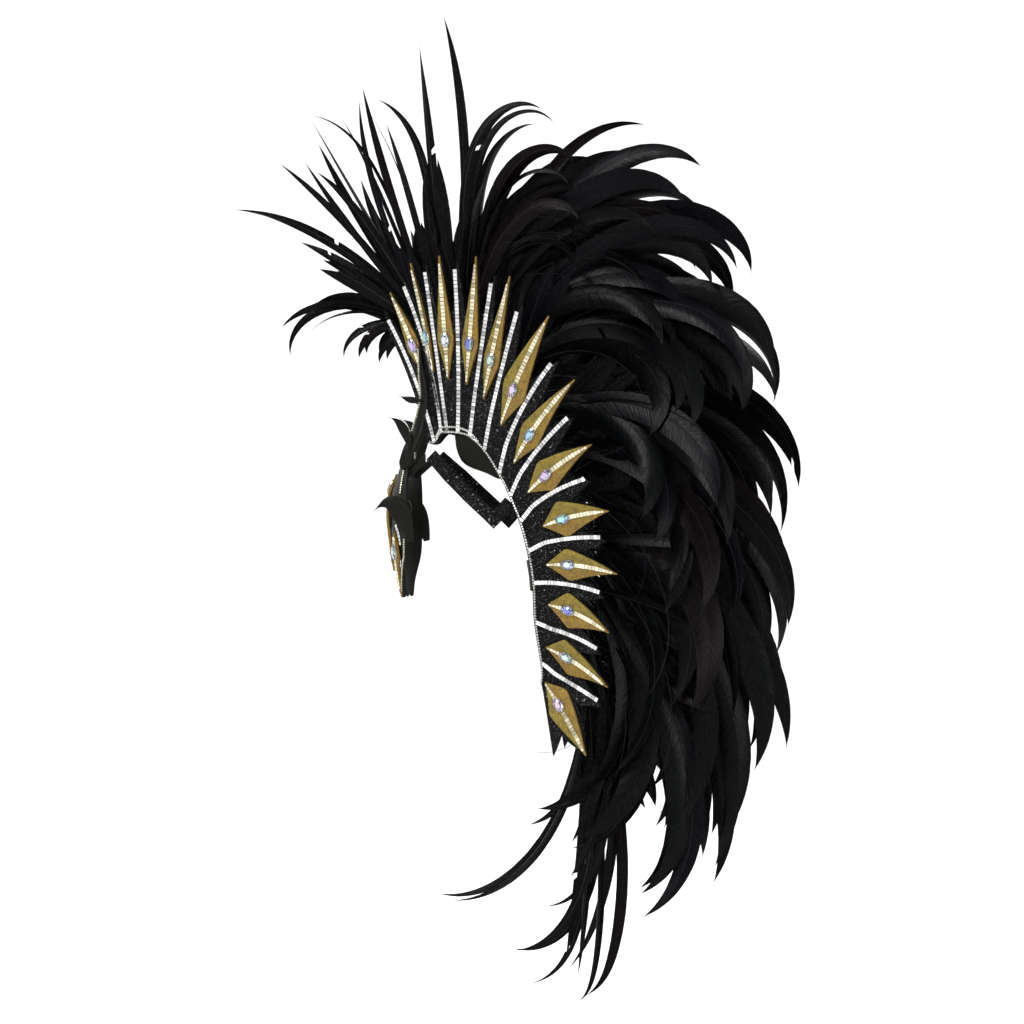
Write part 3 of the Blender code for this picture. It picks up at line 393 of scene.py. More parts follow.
# How far the feathers of a loose bundle stray from its row
STRAY_ROOT = 0.22
STRAY_SIDE = 0.38
STRAY_LEAN = 4.5
STRAY_CURL = 9.0
SHORTER = 0.34          # how much shorter the innermost feather is
EARLIER = 0.5           # how much earlier it curls
BREADTH_SPREAD = (0.88, 1.10)
FIRST_PLUME_SEED = 100
TRIM_SEED = 7

# View
PIXEL = 0.00125         # metres in one picture dot, in the plane of the crest
PICTURE = 1024
SEAT_DOT = (480, 428)   # where the origin lies in the picture
VIEW_TURN = math.radians(8.0)
VIEW_DISTANCE = 3.46
SENSOR = 0.036
# Lights: name, place, the point each is turned to, size and power
LIGHTS = (
    ("key", (-1.6, -2.4, 2.8), (0.1, 0.0, 0.0), 1.1, 165.0),
    ("back", (2.6, 1.6, 2.6), (0.1, 0.0, 0.0), 1.6, 110.0),
    ("fill", (2.8, -2.2, 0.9), (0.1, 0.0, -0.1), 1.2, 60.0),
)
WORLD_STRENGTH = 0.72
FLOOR_LEVEL = -0.72
FLOOR_MIDDLE = 2.0
FLOOR_FLAT = 4.2        # radius of the flat floor, and of the curve up into the backdrop
FLOOR_BEND = 1.2
FLOOR_BEND_STEPS = 10
FLOOR_TOP = 4.0
FLOOR_SIDES = 96

# Finishes: the darker and the lighter colour of each
BOARD_BLACK = ((0.0014, 0.0014, 0.0016), (0.0050, 0.0048, 0.0050))
BOARD_FLAKE = (0.75, 0.76, 0.80)
SATIN_BLACK = ((0.0014, 0.0014, 0.0009), (0.0038, 0.0037, 0.0028))
# Gold of the kites: olive on one half, and on the other half a browner, darker gold that is painted shade,
# as if that half were folded away from the light
GOLD_OLIVE = ((0.040, 0.029, 0.001), (0.165, 0.118, 0.003))
GOLD_SHADED_HALF = ((0.054, 0.026, 0.001), (0.175, 0.088, 0.002))
GOLD_FLAKE = ((0.085, 0.057, 0.004), (0.32, 0.225, 0.024))
# Mirror tiles: each is painted a grey between the darker and the lighter colour, a painted reflection that
# is darker on some tiles
WHITE_TILE = ((0.20, 0.20, 0.20), (0.84, 0.84, 0.83))
CREAM_TILE = ((0.26, 0.23, 0.14), (0.84, 0.79, 0.60))
SETTING_METAL = ((0.16, 0.15, 0.13), (0.42, 0.40, 0.36))
FEATHER_BLACK = ((0.0003, 0.0003, 0.0005), (0.0013, 0.0013, 0.0016))
PALE_FLOOR = ((0.87, 0.87, 0.87), (0.90, 0.90, 0.895))


class Rows:
    """A table with named columns, read smoothly between its rows."""

    def __init__(self, columns, rows):
        self.columns = {name: [row[i] for row in rows] for i, name in enumerate(columns)}
        self.last = len(rows) - 1

    def at(self, name, place):
        values = self.columns[name]
        place = min(max(place, 0.0), float(self.last))
        i = min(int(place), self.last - 1)
        t = place - i
        a = values[max(i - 1, 0)]
        b = values[i]
        c = values[i + 1]
        d = values[min(i + 2, self.last)]
        bend = 2 * a - 5 * b + 4 * c - d
        twist = 3 * b - a - 3 * c + d
        return b + ((c - a) * t + bend * t ** 2 + twist * t ** 3) / 2


def named(columns, rows):
    """The rows of a table, each with its columns' names."""
    return [dict(zip(columns, row)) for row in rows]


CREST = Rows(CREST_COLUMNS, CREST_ROWS)


def crest_point(place, distance):
    """Point on the middle of the left panel's board, at a place along the rim and up a ray."""
    reach = CREST.at("reach", place) * RAY_REACH
    share = distance / reach
    lean = math.radians(CREST.at("lean", place))
    bow = CREST.at("bow", place) * reach * 4 * share * (1 - share)
    back = CREST.at("back", place) * RIM_DEPTH + distance * math.sin(lean) + bow * math.cos(lean)
    up = CREST.at("up", place) * NAPE_DROP + distance * math.cos(lean) - bow * math.sin(lean)
    rim = CREST.at("half", place) * RIM_HALF
    half = rim + (CREST.at("tip", place) * TIP_HALF - rim) * share
    return Vector((back, -half, up))


def crest_frame(place, distance):
    """Point, outward normal and direction up the ray on the left panel."""
    step = RAY_REACH / 100
    near = min(max(place, 0.03), CREST.last - 0.03)
    along = crest_point(near + 0.03, distance) - crest_point(near - 0.03, distance)
    ray = (crest_point(near, distance + step) - crest_point(near, distance - step)).normalized()
    normal = along.cross(ray).normalized()
    return crest_point(place, distance), normal, ray


def ray_length(place, share):
    """Distance that a share of the ray at a place comes to."""
    return CREST.at("reach", place) * RAY_REACH * share


def kite_span(spike):
    """Place of a kite with its root, widest and tip distances and its width."""
    place = spike + 0.5
    tip = CREST.columns["kite_reach"][spike] * RAY_REACH
    root = CREST.columns["kite_root"][spike] * tip
    widest = root + (tip - root) * KITE_WIDEST
    spacing = (crest_point(place + 0.05, widest) - crest_point(place - 0.05, widest)).length / 0.1
    drift = STRIP_DRIFT * widest / (CREST.at("reach", place) * RAY_REACH)
    free = (0.5 - drift) * spacing - STRIP_WIDTH / 2 - KITE_CLEARANCE
    return root, widest, tip, 2 * free * CREST.columns["kite_fill"][spike], place


# Materials

def shader_tree(name):
    """A new material with its node tree and its shader."""
    made = bpy.data.materials.new(name)
    made.use_nodes = True
    return made, made.node_tree, made.node_tree.nodes["Principled BSDF"]


def plug(tree, socket, value):
    """Joins another node's socket to this one, or sets a plain value on it."""
    if isinstance(value, bpy.types.NodeSocket):
        tree.links.new(value, socket)
    else:
        socket.default_value = value


def feed(tree, node, **inputs):
    """Gives a node its inputs by name."""
    for key, value in inputs.items():
        plug(tree, node.inputs[key.replace("_", " ")], value)


def add(tree, kind, settings=(), **inputs):
    """A node with its settings and its inputs."""
    node = tree.nodes.new(kind)
    for key, value in dict(settings).items():
        setattr(node, key, value)
    feed(tree, node, **inputs)
    return node


def maths(tree, operation, first, second=0.0, clamp=False):
    node = add(tree, "ShaderNodeMath", {"operation": operation, "use_clamp": clamp})
    plug(tree, node.inputs[0], first)
    plug(tree, node.inputs[1], second)
    return node.outputs[0]


def vector_maths(tree, operation, first, second=None):
    node = add(tree, "ShaderNodeVectorMath", {"operation": operation})
    plug(tree, node.inputs[0], first)
    if second is not None:
        plug(tree, node.inputs["Scale" if operation == "SCALE" else 1], second)
    return node.outputs[0]


def blend(tree, share, low, high, manner="MIX"):
    """Colour between two colours, or the second laid on the first in another manner."""
    node = add(tree, "ShaderNodeMix", {"data_type": "RGBA", "blend_type": manner})
    plug(tree, node.inputs[0], share)
    for socket, colour in ((node.inputs[6], low), (node.inputs[7], high)):
        plug(tree, socket, colour if isinstance(colour, bpy.types.NodeSocket) else (*colour, 1.0))
    return node.outputs[2]


def ramp(tree, value, stops):
    """Soft step from one value to another, as two pairs of place and value."""
    node = add(tree, "ShaderNodeMapRange", {"interpolation_type": "SMOOTHSTEP"})
    (place_a, value_a), (place_b, value_b) = stops
    for socket, number in zip(node.inputs[:5], (value, place_a, place_b, value_a, value_b)):
        plug(tree, socket, number)
    return node.outputs[0]


def piece_place(tree):
    """Place on the piece, in metres."""
    return add(tree, "ShaderNodeTexCoord").outputs["Object"]


def speckle(tree, scale, detail, roughness=0.5):
    """Grey noise over the piece."""
    noise = add(tree, "ShaderNodeTexNoise", Vector=piece_place(tree), Scale=scale, Detail=detail,
                Roughness=roughness)
    return noise.outputs["Fac"]


def painted(tree):
    """The colours that the pieces' faces carry, among them painted shade, painted reflections, glints,
    highlights and sheen.
    """
    return add(tree, "ShaderNodeAttribute", {"attribute_name": "tint"})


def group_of(name, inputs, outputs):
    """Empty node group with named float inputs, and outputs as pairs of name and socket type."""
    group = bpy.data.node_groups.new(name, "ShaderNodeTree")
    for label, value in inputs:
        socket = group.interface.new_socket(name=label, in_out="INPUT", socket_type="NodeSocketFloat")
        socket.default_value = value
    for label, kind in outputs:
        group.interface.new_socket(name=label, in_out="OUTPUT", socket_type=kind)
    return group, group.nodes.new("NodeGroupInput"), group.nodes.new("NodeGroupOutput")


def glitter_flakes():
    """Flakes strewn over a board: which ones catch light, how bright each is, and how each one lies."""
    group, given, out = group_of(
        "glitter flakes", (("Grains per metre", 900.0), ("Cover", 0.05), ("Tilt", 0.6)),
        (("Mask", "NodeSocketFloat"), ("Shade", "NodeSocketFloat"), ("Normal", "NodeSocketVector")))
    grain = add(group, "ShaderNodeTexVoronoi", Vector=piece_place(group),
                Scale=given.outputs["Grains per metre"])
    parts = add(group, "ShaderNodeSeparateColor", Color=grain.outputs["Color"])
    bare = maths(group, "SUBTRACT", 1.0, given.outputs["Cover"])
    centred = vector_maths(group, "SUBTRACT", grain.outputs["Color"], (0.5, 0.5, 0.5))
    scaled = vector_maths(group, "SCALE", centred, given.outputs["Tilt"])
    leaned = vector_maths(group, "ADD", scaled, add(group, "ShaderNodeNewGeometry").outputs["Normal"])
    feed(group, out, Mask=maths(group, "GREATER_THAN", parts.outputs["Red"], bare),
         Shade=parts.outputs["Green"], Normal=vector_maths(group, "NORMALIZE", leaned))
    return group


def soft_patches():
    """Soft patches of wear: lighter and darker at random over the piece."""
    group, given, out = group_of("soft patches", (("Size", 40.0), ("Contrast", 0.5)),
                                 (("Shade", "NodeSocketFloat"),))
    centred = maths(group, "SUBTRACT", speckle(group, given.outputs["Size"], 4.0, 0.6), 0.5)
    spread = maths(group, "MULTIPLY", centred, given.outputs["Contrast"])
    feed(group, out, Shade=maths(group, "ADD", spread, 0.5, clamp=True))
    return group


def use(tree, group, **inputs):
    """A node group placed in a material with values of its own."""
    return add(tree, "ShaderNodeGroup", {"node_tree": group}, **inputs)


def black_board_finish(flakes, patches):
    """Black board with fine flakes, and a bolder one here and there."""
    made, tree, shader = shader_tree("black glitter board")
    fine = use(tree, flakes, Grains_per_metre=2400.0, Cover=0.022, Tilt=0.9)
    bold = use(tree, flakes, Grains_per_metre=700.0, Cover=0.0035, Tilt=0.7)
    worn = use(tree, patches, Size=55.0, Contrast=1.2)
    cloth = blend(tree, worn.outputs["Shade"], *BOARD_BLACK)
    catch = maths(tree, "MAXIMUM", fine.outputs["Mask"], bold.outputs["Mask"])
    lit = maths(tree, "MULTIPLY", catch, maths(tree, "MULTIPLY", fine.outputs["Shade"], 0.6))
    feed(tree, shader, Base_Color=blend(tree, lit, cloth, BOARD_FLAKE), Metallic=catch,
         Roughness=ramp(tree, catch, ((0.0, 0.62), (1.0, 0.30))), Normal=fine.outputs["Normal"],
         Specular_IOR_Level=0.045)
    return made


def satin_board_finish(patches):
    """Smooth black board with a soft satin skin."""
    made, tree, shader = shader_tree("black satin board")
    worn = use(tree, patches, Size=70.0, Contrast=1.4).outputs["Shade"]
    bump = add(tree, "ShaderNodeBump", Height=speckle(tree, 900.0, 3.0), Strength=0.12, Distance=0.0004)
    feed(tree, shader, Base_Color=blend(tree, worn, *SATIN_BLACK), Normal=bump.outputs["Normal"],
         Roughness=ramp(tree, worn, ((0.2, 0.36), (0.8, 0.50))), Specular_IOR_Level=0.11)
    return made


def gold_glitter_finish(flakes, patches):
    """Gold flakes on board, olive on one half of a kite and on the other a browner, darker painted shade."""
    made, tree, shader = shader_tree("gold glitter")
    grain = use(tree, flakes, Grains_per_metre=1150.0, Cover=0.55, Tilt=0.75)
    spark = use(tree, flakes, Grains_per_metre=800.0, Cover=0.03, Tilt=1.1).outputs["Mask"]
    worn = use(tree, patches, Size=120.0, Contrast=2.2).outputs["Shade"]
    # Painted shade: faces marked in the kite's colours take the browner, darker gold instead of the olive
    ground = blend(tree, painted(tree).outputs["Fac"], blend(tree, worn, *GOLD_OLIVE),
                   blend(tree, worn, *GOLD_SHADED_HALF))
    share = maths(tree, "MULTIPLY", grain.outputs["Mask"], 0.62)
    bright = blend(tree, grain.outputs["Shade"], *GOLD_FLAKE)
    feed(tree, shader, Base_Color=blend(tree, share, ground, bright),
         Metallic=maths(tree, "MAXIMUM", maths(tree, "MULTIPLY", share, 0.7), spark),
         Roughness=ramp(tree, spark, ((0.0, 0.52), (1.0, 0.22))), Normal=grain.outputs["Normal"])
    return made


def mirror_tile_finish(name, dark, light):
    """Silvered tile, as bright as its face is painted: a painted reflection, darker on some tiles."""
    made, tree, shader = shader_tree(name)
    feed(tree, shader, Base_Color=blend(tree, painted(tree).outputs["Fac"], dark, light),
         Roughness=ramp(tree, speckle(tree, 420.0, 3.0), ((0.35, 0.10), (0.70, 0.26))), Metallic=1.0)
    return made


def stone_finish():
    """Foiled crystal with a clear coat, each facet in a colour of its own, painted brighter or darker as a
    glint.
    """
    made, tree, shader = shader_tree("coated crystal")
    feed(tree, shader, Base_Color=painted(tree).outputs["Color"],
         Roughness=ramp(tree, speckle(tree, 260.0, 2.0), ((0.3, 0.04), (0.7, 0.12))), Metallic=0.55,
         Coat_Weight=1.0, Coat_Roughness=0.03)
    return made


def setting_metal_finish():
    """Dull silver of the stones' cups and of the hem cord."""
    made, tree, shader = shader_tree("setting metal")
    grey = speckle(tree, 300.0, 3.0)
    feed(tree, shader, Base_Color=blend(tree, grey, *SETTING_METAL),
         Roughness=ramp(tree, grey, ((0.3, 0.22), (0.7, 0.4))), Metallic=1.0)
    return made


def feather_finish(patches):
    """Near-black satin vane: barbs slant from the quill, with a soft blue, green or brown sheen painted into
    its base colour.
    """
    made, tree, shader = shader_tree("black coque feather")
    spot = add(tree, "ShaderNodeUVMap", {"uv_map": "vane"})
    parts = add(tree, "ShaderNodeSeparateXYZ", Vector=spot.outputs["UV"])

    def barbs(along, across, detail, roughness):
        place = add(tree, "ShaderNodeCombineXYZ", X=maths(tree, "MULTIPLY", parts.outputs["X"], along),
                    Y=maths(tree, "MULTIPLY", parts.outputs["Y"], across))
        noise = add(tree, "ShaderNodeTexNoise", Vector=place.outputs[0], Scale=1.0, Detail=detail,
                    Roughness=roughness)
        return noise.outputs["Fac"]

    fine = barbs(900.0, 60.0, 3.0, 0.65)
    broad = barbs(190.0, 22.0, 2.0, 0.5)
    height = maths(tree, "ADD", maths(tree, "MULTIPLY", fine, 0.4), broad)
    bump = add(tree, "ShaderNodeBump", Height=height, Strength=0.55, Distance=0.0012)
    worn = use(tree, patches, Size=14.0, Contrast=2.0)
    ground = blend(tree, worn.outputs["Shade"], *FEATHER_BLACK)
    # Painted sheen: the feather's colour is added to its base colour in streaks along the barbs
    sheen = ramp(tree, fine, ((0.35, 0.15), (0.75, 1.0)))
    feed(tree, shader, Base_Color=blend(tree, sheen, ground, painted(tree).outputs["Color"], "ADD"),
         Roughness=ramp(tree, fine, ((0.3, 0.22), (0.7, 0.36))), Normal=bump.outputs["Normal"],
         Specular_IOR_Level=0.048)
    return made


def floor_finish():
    made, tree, shader = shader_tree("pale floor")
    feed(tree, shader, Base_Color=blend(tree, speckle(tree, 3.0, 3.0), *PALE_FLOOR), Roughness=0.9)
    return made


# Mesh helpers

def placed(name, data):
    """Object of a mesh, lamp or camera, put in the scene."""
    made = bpy.data.objects.new(name, data)
    bpy.context.scene.collection.objects.link(made)
    return made


def make_object(name, points, faces, finishes, face_finish=None, tints=None, smooth=False):
    """Object from points and faces, with a finish and a colour for each face."""
    mesh = bpy.data.meshes.new(name)
    mesh.from_pydata([tuple(p) for p in points], [], faces)
    for finish in finishes:
        mesh.materials.append(finish)
    if face_finish is not None:
        mesh.polygons.foreach_set("material_index", face_finish)
    if tints is not None:
        layer = mesh.color_attributes.new("tint", "FLOAT_COLOR", "CORNER")
        values = np.repeat(np.array(tints, np.float32), [len(face) for face in faces], axis=0)
        layer.data.foreach_set("color", values.ravel())
    mesh.polygons.foreach_set("use_smooth", [smooth] * len(faces))
    mesh.update()
    return placed(name, mesh)


def mirrored(source, name):
    """The wearer's right-hand copy of a left-hand piece."""
    mesh = source.data.copy()
    mesh.transform(Matrix.Diagonal((1.0, -1.0, 1.0, 1.0)))
    mesh.flip_normals()
    return placed(name, mesh)


def join(name, objects):
    """One object from several that share their list of finishes."""
    work = bmesh.new()
    for each in objects:
        work.from_mesh(each.data)
    mesh = objects[0].data.copy()
    work.to_mesh(mesh)
    work.free()
    if "tint" not in mesh.color_attributes:
        mesh.color_attributes.new("tint", "FLOAT_COLOR", "CORNER")
    mesh.name = name
    for each in objects:
        bpy.data.objects.remove(each)
    return placed(name, mesh)


def walled(outer, inner, present=None):
    """Points and faces of a closed wall between two grids of points."""
    rows = len(outer)
    columns = len(outer[0])
    points = [p for row in outer for p in row] + [p for row in inner for p in row]
    shift = rows * columns

    def kept(i, j):
        if not (0 <= i < rows - 1 and 0 <= j < columns - 1):
            return False
        return present is None or present(i, j)

    faces = []
    for i in range(rows - 1):
        for j in range(columns - 1):
            if not kept(i, j):
                continue
            a = i * columns + j
            b = a + 1
            c = a + columns + 1
            d = a + columns
            faces.append((a, b, c, d))
            faces.append((d + shift, c + shift, b + shift, a + shift))
            for beside, (p, q) in (((i - 1, j), (a, b)), ((i, j + 1), (b, c)),
                                   ((i + 1, j), (c, d)), ((i, j - 1), (d, a))):
                if not kept(*beside):
                    faces.append((q, p, p + shift, q + shift))
    used = sorted({v for face in faces for v in face})
    fresh = {old: new for new, old in enumerate(used)}
    return [points[v] for v in used], [tuple(fresh[v] for v in face) for face in faces]


def wall_on(frames, low, high, present=None):
    """Points and faces of a wall between two heights over a grid of points and normals."""
    outer = [[point + normal * high for point, normal in row] for row in frames]
    inner = [[point + normal * low for point, normal in row] for row in frames]
    return walled(outer, inner, present)


def ring_faces(first, second, sides):
    """Faces between two rings of points, whose first points are given."""
    return [(first + j, first + (j + 1) % sides, second + (j + 1) % sides, second + j) for j in range(sides)]


def tube_faces(stations, sides):
    """Faces of a tube of rings, closed at both ends."""
    faces = []
    for i in range(stations - 1):
        faces += ring_faces(i * sides, (i + 1) * sides, sides)
    faces.append(tuple(reversed(range(sides))))
    faces.append(tuple(range((stations - 1) * sides, stations * sides)))
    return faces


def soften(made, radius, angle=35.0):
    """Rounds the cut edges, and shades the rest smoothly."""
    work = bmesh.new()
    work.from_mesh(made.data)
    bmesh.ops.recalc_face_normals(work, faces=work.faces)
    sharp = [e for e in work.edges if len(e.link_faces) == 2 and e.calc_face_angle() > math.radians(angle)]
    bmesh.ops.bevel(work, geom=sharp, offset=radius, segments=2, profile=0.5, affect="EDGES",
                    clamp_overlap=True)
    bmesh.ops.remove_doubles(work, verts=work.verts, dist=WELD)
    for face in work.faces:
        face.smooth = True
    for edge in work.edges:
        edge.smooth = not (len(edge.link_faces) == 2 and edge.calc_face_angle() > math.radians(CREASE))
    work.to_mesh(made.data)
    work.free()
    return made


# Side panels

def panel_columns():
    """Places along the rim with the length of the board there: spikes, notches and kite backings."""
    columns = [(0.0, ray_length(0.0, 1.0))]
    for spike in range(1, SPIKES + 1):
        columns.append((float(spike), ray_length(spike, 1.0)))
        columns.append((spike + 0.25, ray_length(spike + 0.25, VALLEY_SHARE)))
        columns.append((spike + 0.5, kite_span(spike)[2] - BACKING_MARGIN))
        columns.append((spike + 0.75, ray_length(spike + 0.75, VALLEY_SHARE)))
    columns.pop()
    columns += [(SPIKES + past, ray_length(SPIKES + past, share)) for past, share in TAIL_OUTLINE]
    columns.append((float(CREST.last), ray_length(CREST.last, 1.0)))
    return columns


def make_side_panel(finish):
    corners = panel_columns()
    columns = []
    for (place, length), (next_place, next_length) in zip(corners, corners[1:]):
        for i in range(PANEL_SPLITS):
            share = i / PANEL_SPLITS
            columns.append((place + (next_place - place) * share, length + (next_length - length) * share))
    columns.append(corners[-1])
    frames = []
    for place, length in columns:
        frames.append([crest_frame(place, length * i / PANEL_CELLS)[:2] for i in range(PANEL_CELLS + 1)])
    points, faces = wall_on(frames, -PANEL_WALL / 2, PANEL_WALL / 2)
    return soften(make_object("panel_left", points, faces, [finish]), BOARD_ROUND)


# Mirror tiles, kites, stones and chains

class Trims:
    """Small hard pieces gathered into one mesh: tiles, settings, stones."""

    def __init__(self, name, finishes):
        self.name = name
        self.finishes = finishes
        self.points = []
        self.faces = []
        self.face_finish = []
        self.tints = []

    def add(self, points, *parts):
        """Takes points with sets of faces on them, each set with its finish and its colours."""
        start = len(self.points)
        self.points += points
        for faces, finish, tints in parts:
            self.faces += [tuple(v + start for v in face) for face in faces]
            self.face_finish += [finish] * len(faces)
            self.tints += tints

    def build(self):
        return make_object(self.name, self.points, self.faces, self.finishes, self.face_finish, self.tints)


def steps_along(route, pitch, least):
    """Even steps near to a pitch along a route of points and normals."""
    points = [point for point, normal in route]
    lengths = [0.0]
    for a, b in zip(points, points[1:]):
        lengths.append(lengths[-1] + (b - a).length)
    count = max(least, round(lengths[-1] / pitch))
    step = lengths[-1] / count
    for i in range(count):
        want = (i + 0.5) * step
        k = max(j for j in range(len(lengths) - 1) if lengths[j] <= want)
        share = (want - lengths[k]) / (lengths[k + 1] - lengths[k])
        normal = route[k][1].lerp(route[k + 1][1], share).normalized()
        along = (points[k + 1] - points[k]).normalized()
        across = normal.cross(along).normalized()
        yield k + share, step, points[k].lerp(points[k + 1], share), normal, along, across


def tile(trims, centre, along, across, normal, length, width, height, finish, dice):
    """One bevelled mirror tile, lying slightly askew."""
    tilt = math.radians(TILE_TILT)
    normal = (normal + along * dice.uniform(-tilt, tilt) + across * dice.uniform(-tilt, tilt)).normalized()
    along = (along - normal * along.dot(normal)).normalized()
    across = normal.cross(along)
    points = []
    for inset, up in ((0.0, 0.0), (0.0, height - TILE_BEVEL), (TILE_BEVEL, height)):
        for x, y in ((-1, -1), (1, -1), (1, 1), (-1, 1)):
            points.append(centre + along * x * (length / 2 - inset) + across * y * (width / 2 - inset)
                          + normal * up)
    faces = [(8, 9, 10, 11)] + ring_faces(0, 4, 4) + ring_faces(4, 8, 4)
    # Painted reflection: each tile gets a grey, most of them bright and some darker, for the dark
    # reflections in some tiles
    shade = dice.random() ** TILE_PAINTED_REFLECTION
    trims.add(points, (faces, finish, [(shade, shade, shade, 1.0)] * len(faces)))


def tile_run(trims, route, widths, height_from, dice, finish=0):
    """Tiles laid end to end along a route."""
    for place, step, centre, normal, along, across in steps_along(route, TILE_LENGTH, 1):
        width = float(np.interp(place, range(len(widths)), widths))
        tile(trims, centre + normal * height_from, along, across, normal, step - TILE_JOINT, width,
             TILE_HEIGHT, finish, dice)


def chain_run(trims, route, height_from, dice, pitch=CHAIN_PITCH, size=CHAIN_STONE, cup=1, gem=2,
              warmth=1.0):
    """Cup chain: small foiled stones in metal cups, end to end along a route, their facets with painted
    glints.
    """
    rings = [ring_faces(i * CHAIN_SIDES, (i + 1) * CHAIN_SIDES, CHAIN_SIDES) for i in range(4)]
    wall = rings[0] + rings[1]
    facets = rings[2] + rings[3] + [tuple(range(4 * CHAIN_SIDES, 5 * CHAIN_SIDES))]
    for place, step, centre, normal, along, across in steps_along(route, pitch, 2):
        along = across.cross(normal)
        points = []
        for radius, up in CHAIN_RINGS:
            for j in range(CHAIN_SIDES):
                angle = 2 * math.pi / CHAIN_SIDES * (j + 0.5)
                points.append(centre + normal * (height_from + up * size)
                              + (along * math.cos(angle) + across * math.sin(angle)) * radius * size)
        tints = []
        # Painted glints: each facet is painted a brighter or darker grey, and a warmth below 1 makes it
        # yellower
        for _ in facets:
            shade = dice.choice(PAINTED_CHAIN_GLINTS)
            tints.append((shade, shade, shade * warmth, 1.0))
        trims.add(points, (wall, cup, [SETTING_TINT] * len(wall)), (facets, gem, tints))


def oval_stone(trims, centre, normal, up, dice, mood):
    """Oval coated crystal: a stepped crown with a table, in a metal setting."""
    across = normal.cross(up).normalized()
    up = across.cross(normal)
    points = []
    for share, height in STONE_RINGS:
        for i in range(STONE_SIDES):
            angle = 2 * math.pi * i / STONE_SIDES
            points.append(centre + up * math.cos(angle) * STONE_LENGTH / 2 * share
                          + across * math.sin(angle) * STONE_WIDTH / 2 * share
                          + normal * STONE_HEIGHT * height)
    wall = []
    for ring in range(3):
        wall += ring_faces(ring * STONE_SIDES, (ring + 1) * STONE_SIDES, STONE_SIDES)
    facets = []
    tints = []
    for ring in (4, 5):
        for j in range(0, STONE_SIDES, 2):
            a, b, c = (ring * STONE_SIDES + (j + k) % STONE_SIDES for k in range(3))
            d, e, f = (v + STONE_SIDES for v in (a, b, c))
            facets += [(a, b, e), (b, c, e), (a, e, d), (c, f, e)]
            for _ in range(4):
                base = STONE_TINTS[(mood + dice.choice((0, 0, 0, 1, 2))) % len(STONE_TINTS)]
                # Painted glint: the facet's colour is made brighter or darker at random
                light = dice.choice(PAINTED_FACET_GLINTS)
                tints.append((*(min(part * light, 1.0) for part in base), 1.0))
    facets.append(tuple(range(6 * STONE_SIDES, 7 * STONE_SIDES)))
    tints.append((*STONE_TINTS[mood % len(STONE_TINTS)], 1.0))
    trims.add(points, (wall, KITE_SETTING, [SETTING_TINT] * len(wall)), (facets, KITE_GEM, tints))


def strip_route(spike):
    """Middle line of the mirror strip on a spike, from the rim to near the spike's tip."""
    route = []
    for i in range(STRIP_STEPS + 1):
        share = i / STRIP_STEPS
        knee = STRIP_KNEES[spike - 1] * min(share / KNEE_SHARE, (1 - share) / (1 - KNEE_SHARE))
        place = spike - STRIP_DRIFT * share - knee
        distance = CHAIN_INSET + (ray_length(place, STRIP_END) - CHAIN_INSET) * share
        route.append(crest_frame(place, distance)[:2])
    return route


def chain_route(first, last, steps, lift):
    """Line of a chain along the rim; lift is how far its middle stands off the rim's own chain."""
    route = []
    for i in range(steps + 1):
        share = i / steps
        gap = lift * math.sin(math.pi * (0.08 + 0.88 * share)) ** 0.6
        route.append(crest_frame(first + (last - first) * share, CHAIN_INSET * CHAIN_SEAT + gap)[:2])
    return route


def make_edge_trim(finishes, dice):
    """Mirror strips on the spikes, the rim's chain, and a second row of chain over the arch."""
    trims = Trims("trim_left", finishes)
    seat = PANEL_WALL / 2 + SEAT_GAP * 0.3
    for spike in range(1, SPIKES + 1):
        route = strip_route(spike)
        tile_run(trims, route, [STRIP_TILE] * len(route), seat, dice)
    chain_run(trims, chain_route(RIM_START, CREST.last, RIM_STEPS, 0.0), seat, dice)
    chain_run(trims, chain_route(ARCH_START, ARCH_END, ARCH_STEPS, ARCH_GAP), seat, dice)
    return trims.build()


def make_kite(spike, finishes, dice):
    """Gold glitter kite with its mirror strip and its stone."""
    root, widest, tip, width, place = kite_span(spike)
    seat = PANEL_WALL / 2 + SEAT_GAP
    frames = []
    for i in range(KITE_STATIONS + 1):
        share = i / KITE_STATIONS
        distance = root + (tip - root) * share
        spread = share / KITE_WIDEST if share < KITE_WIDEST else (1 - share) / (1 - KITE_WIDEST)
        half = max(width * spread, KITE_POINT) / 2
        step = (crest_point(place + 0.02, distance) - crest_point(place - 0.02, distance)).length / 0.04
        frames.append([crest_frame(place + k / 3 * half / step, distance)[:2] for k in range(-3, 4)])
    points, faces = wall_on(frames, seat, seat + KITE_WALL)
    # Painted shade: faces on the half of the kite toward the back and down are marked for the browner,
    # darker gold, as if the kite were folded there and that half shaded
    middle, normal, ray = crest_frame(place, widest)
    behind = normal.cross(ray)
    if behind.x < 0 and abs(behind.x) > abs(behind.z) or behind.z > 0 and abs(behind.z) >= abs(behind.x):
        behind = -behind
    tints = []
    for face in faces:
        centre = sum((points[v] for v in face), Vector()) / len(face)
        shade = 1.0 if (centre - middle).dot(behind) > 0 else 0.0
        tints.append((shade, shade, shade, 1.0))
    board = soften(make_object("kite_board", points, faces, finishes, tints=tints), KITE_ROUND)
    trims = Trims("kite_trims", finishes)
    route = []
    widths = []
    for i in range(KITE_LINE_STEPS + 1):
        share = KITE_LINE[0] + (KITE_LINE[1] - KITE_LINE[0]) * i / KITE_LINE_STEPS
        route.append(crest_frame(place, root + (tip - root) * share)[:2])
        widths.append(KITE_STRIP_WIDTH * min(1.0, 0.35 + share * 2.4, 0.25 + (1.0 - share) * 3.0))
    tile_run(trims, route, widths, seat + KITE_WALL, dice, KITE_TILE)
    oval_stone(trims, middle + normal * (seat + KITE_WALL), normal, ray, dice, spike)
    return join("kite_left_look_%02d" % spike, [board, trims.build()])


# Bands

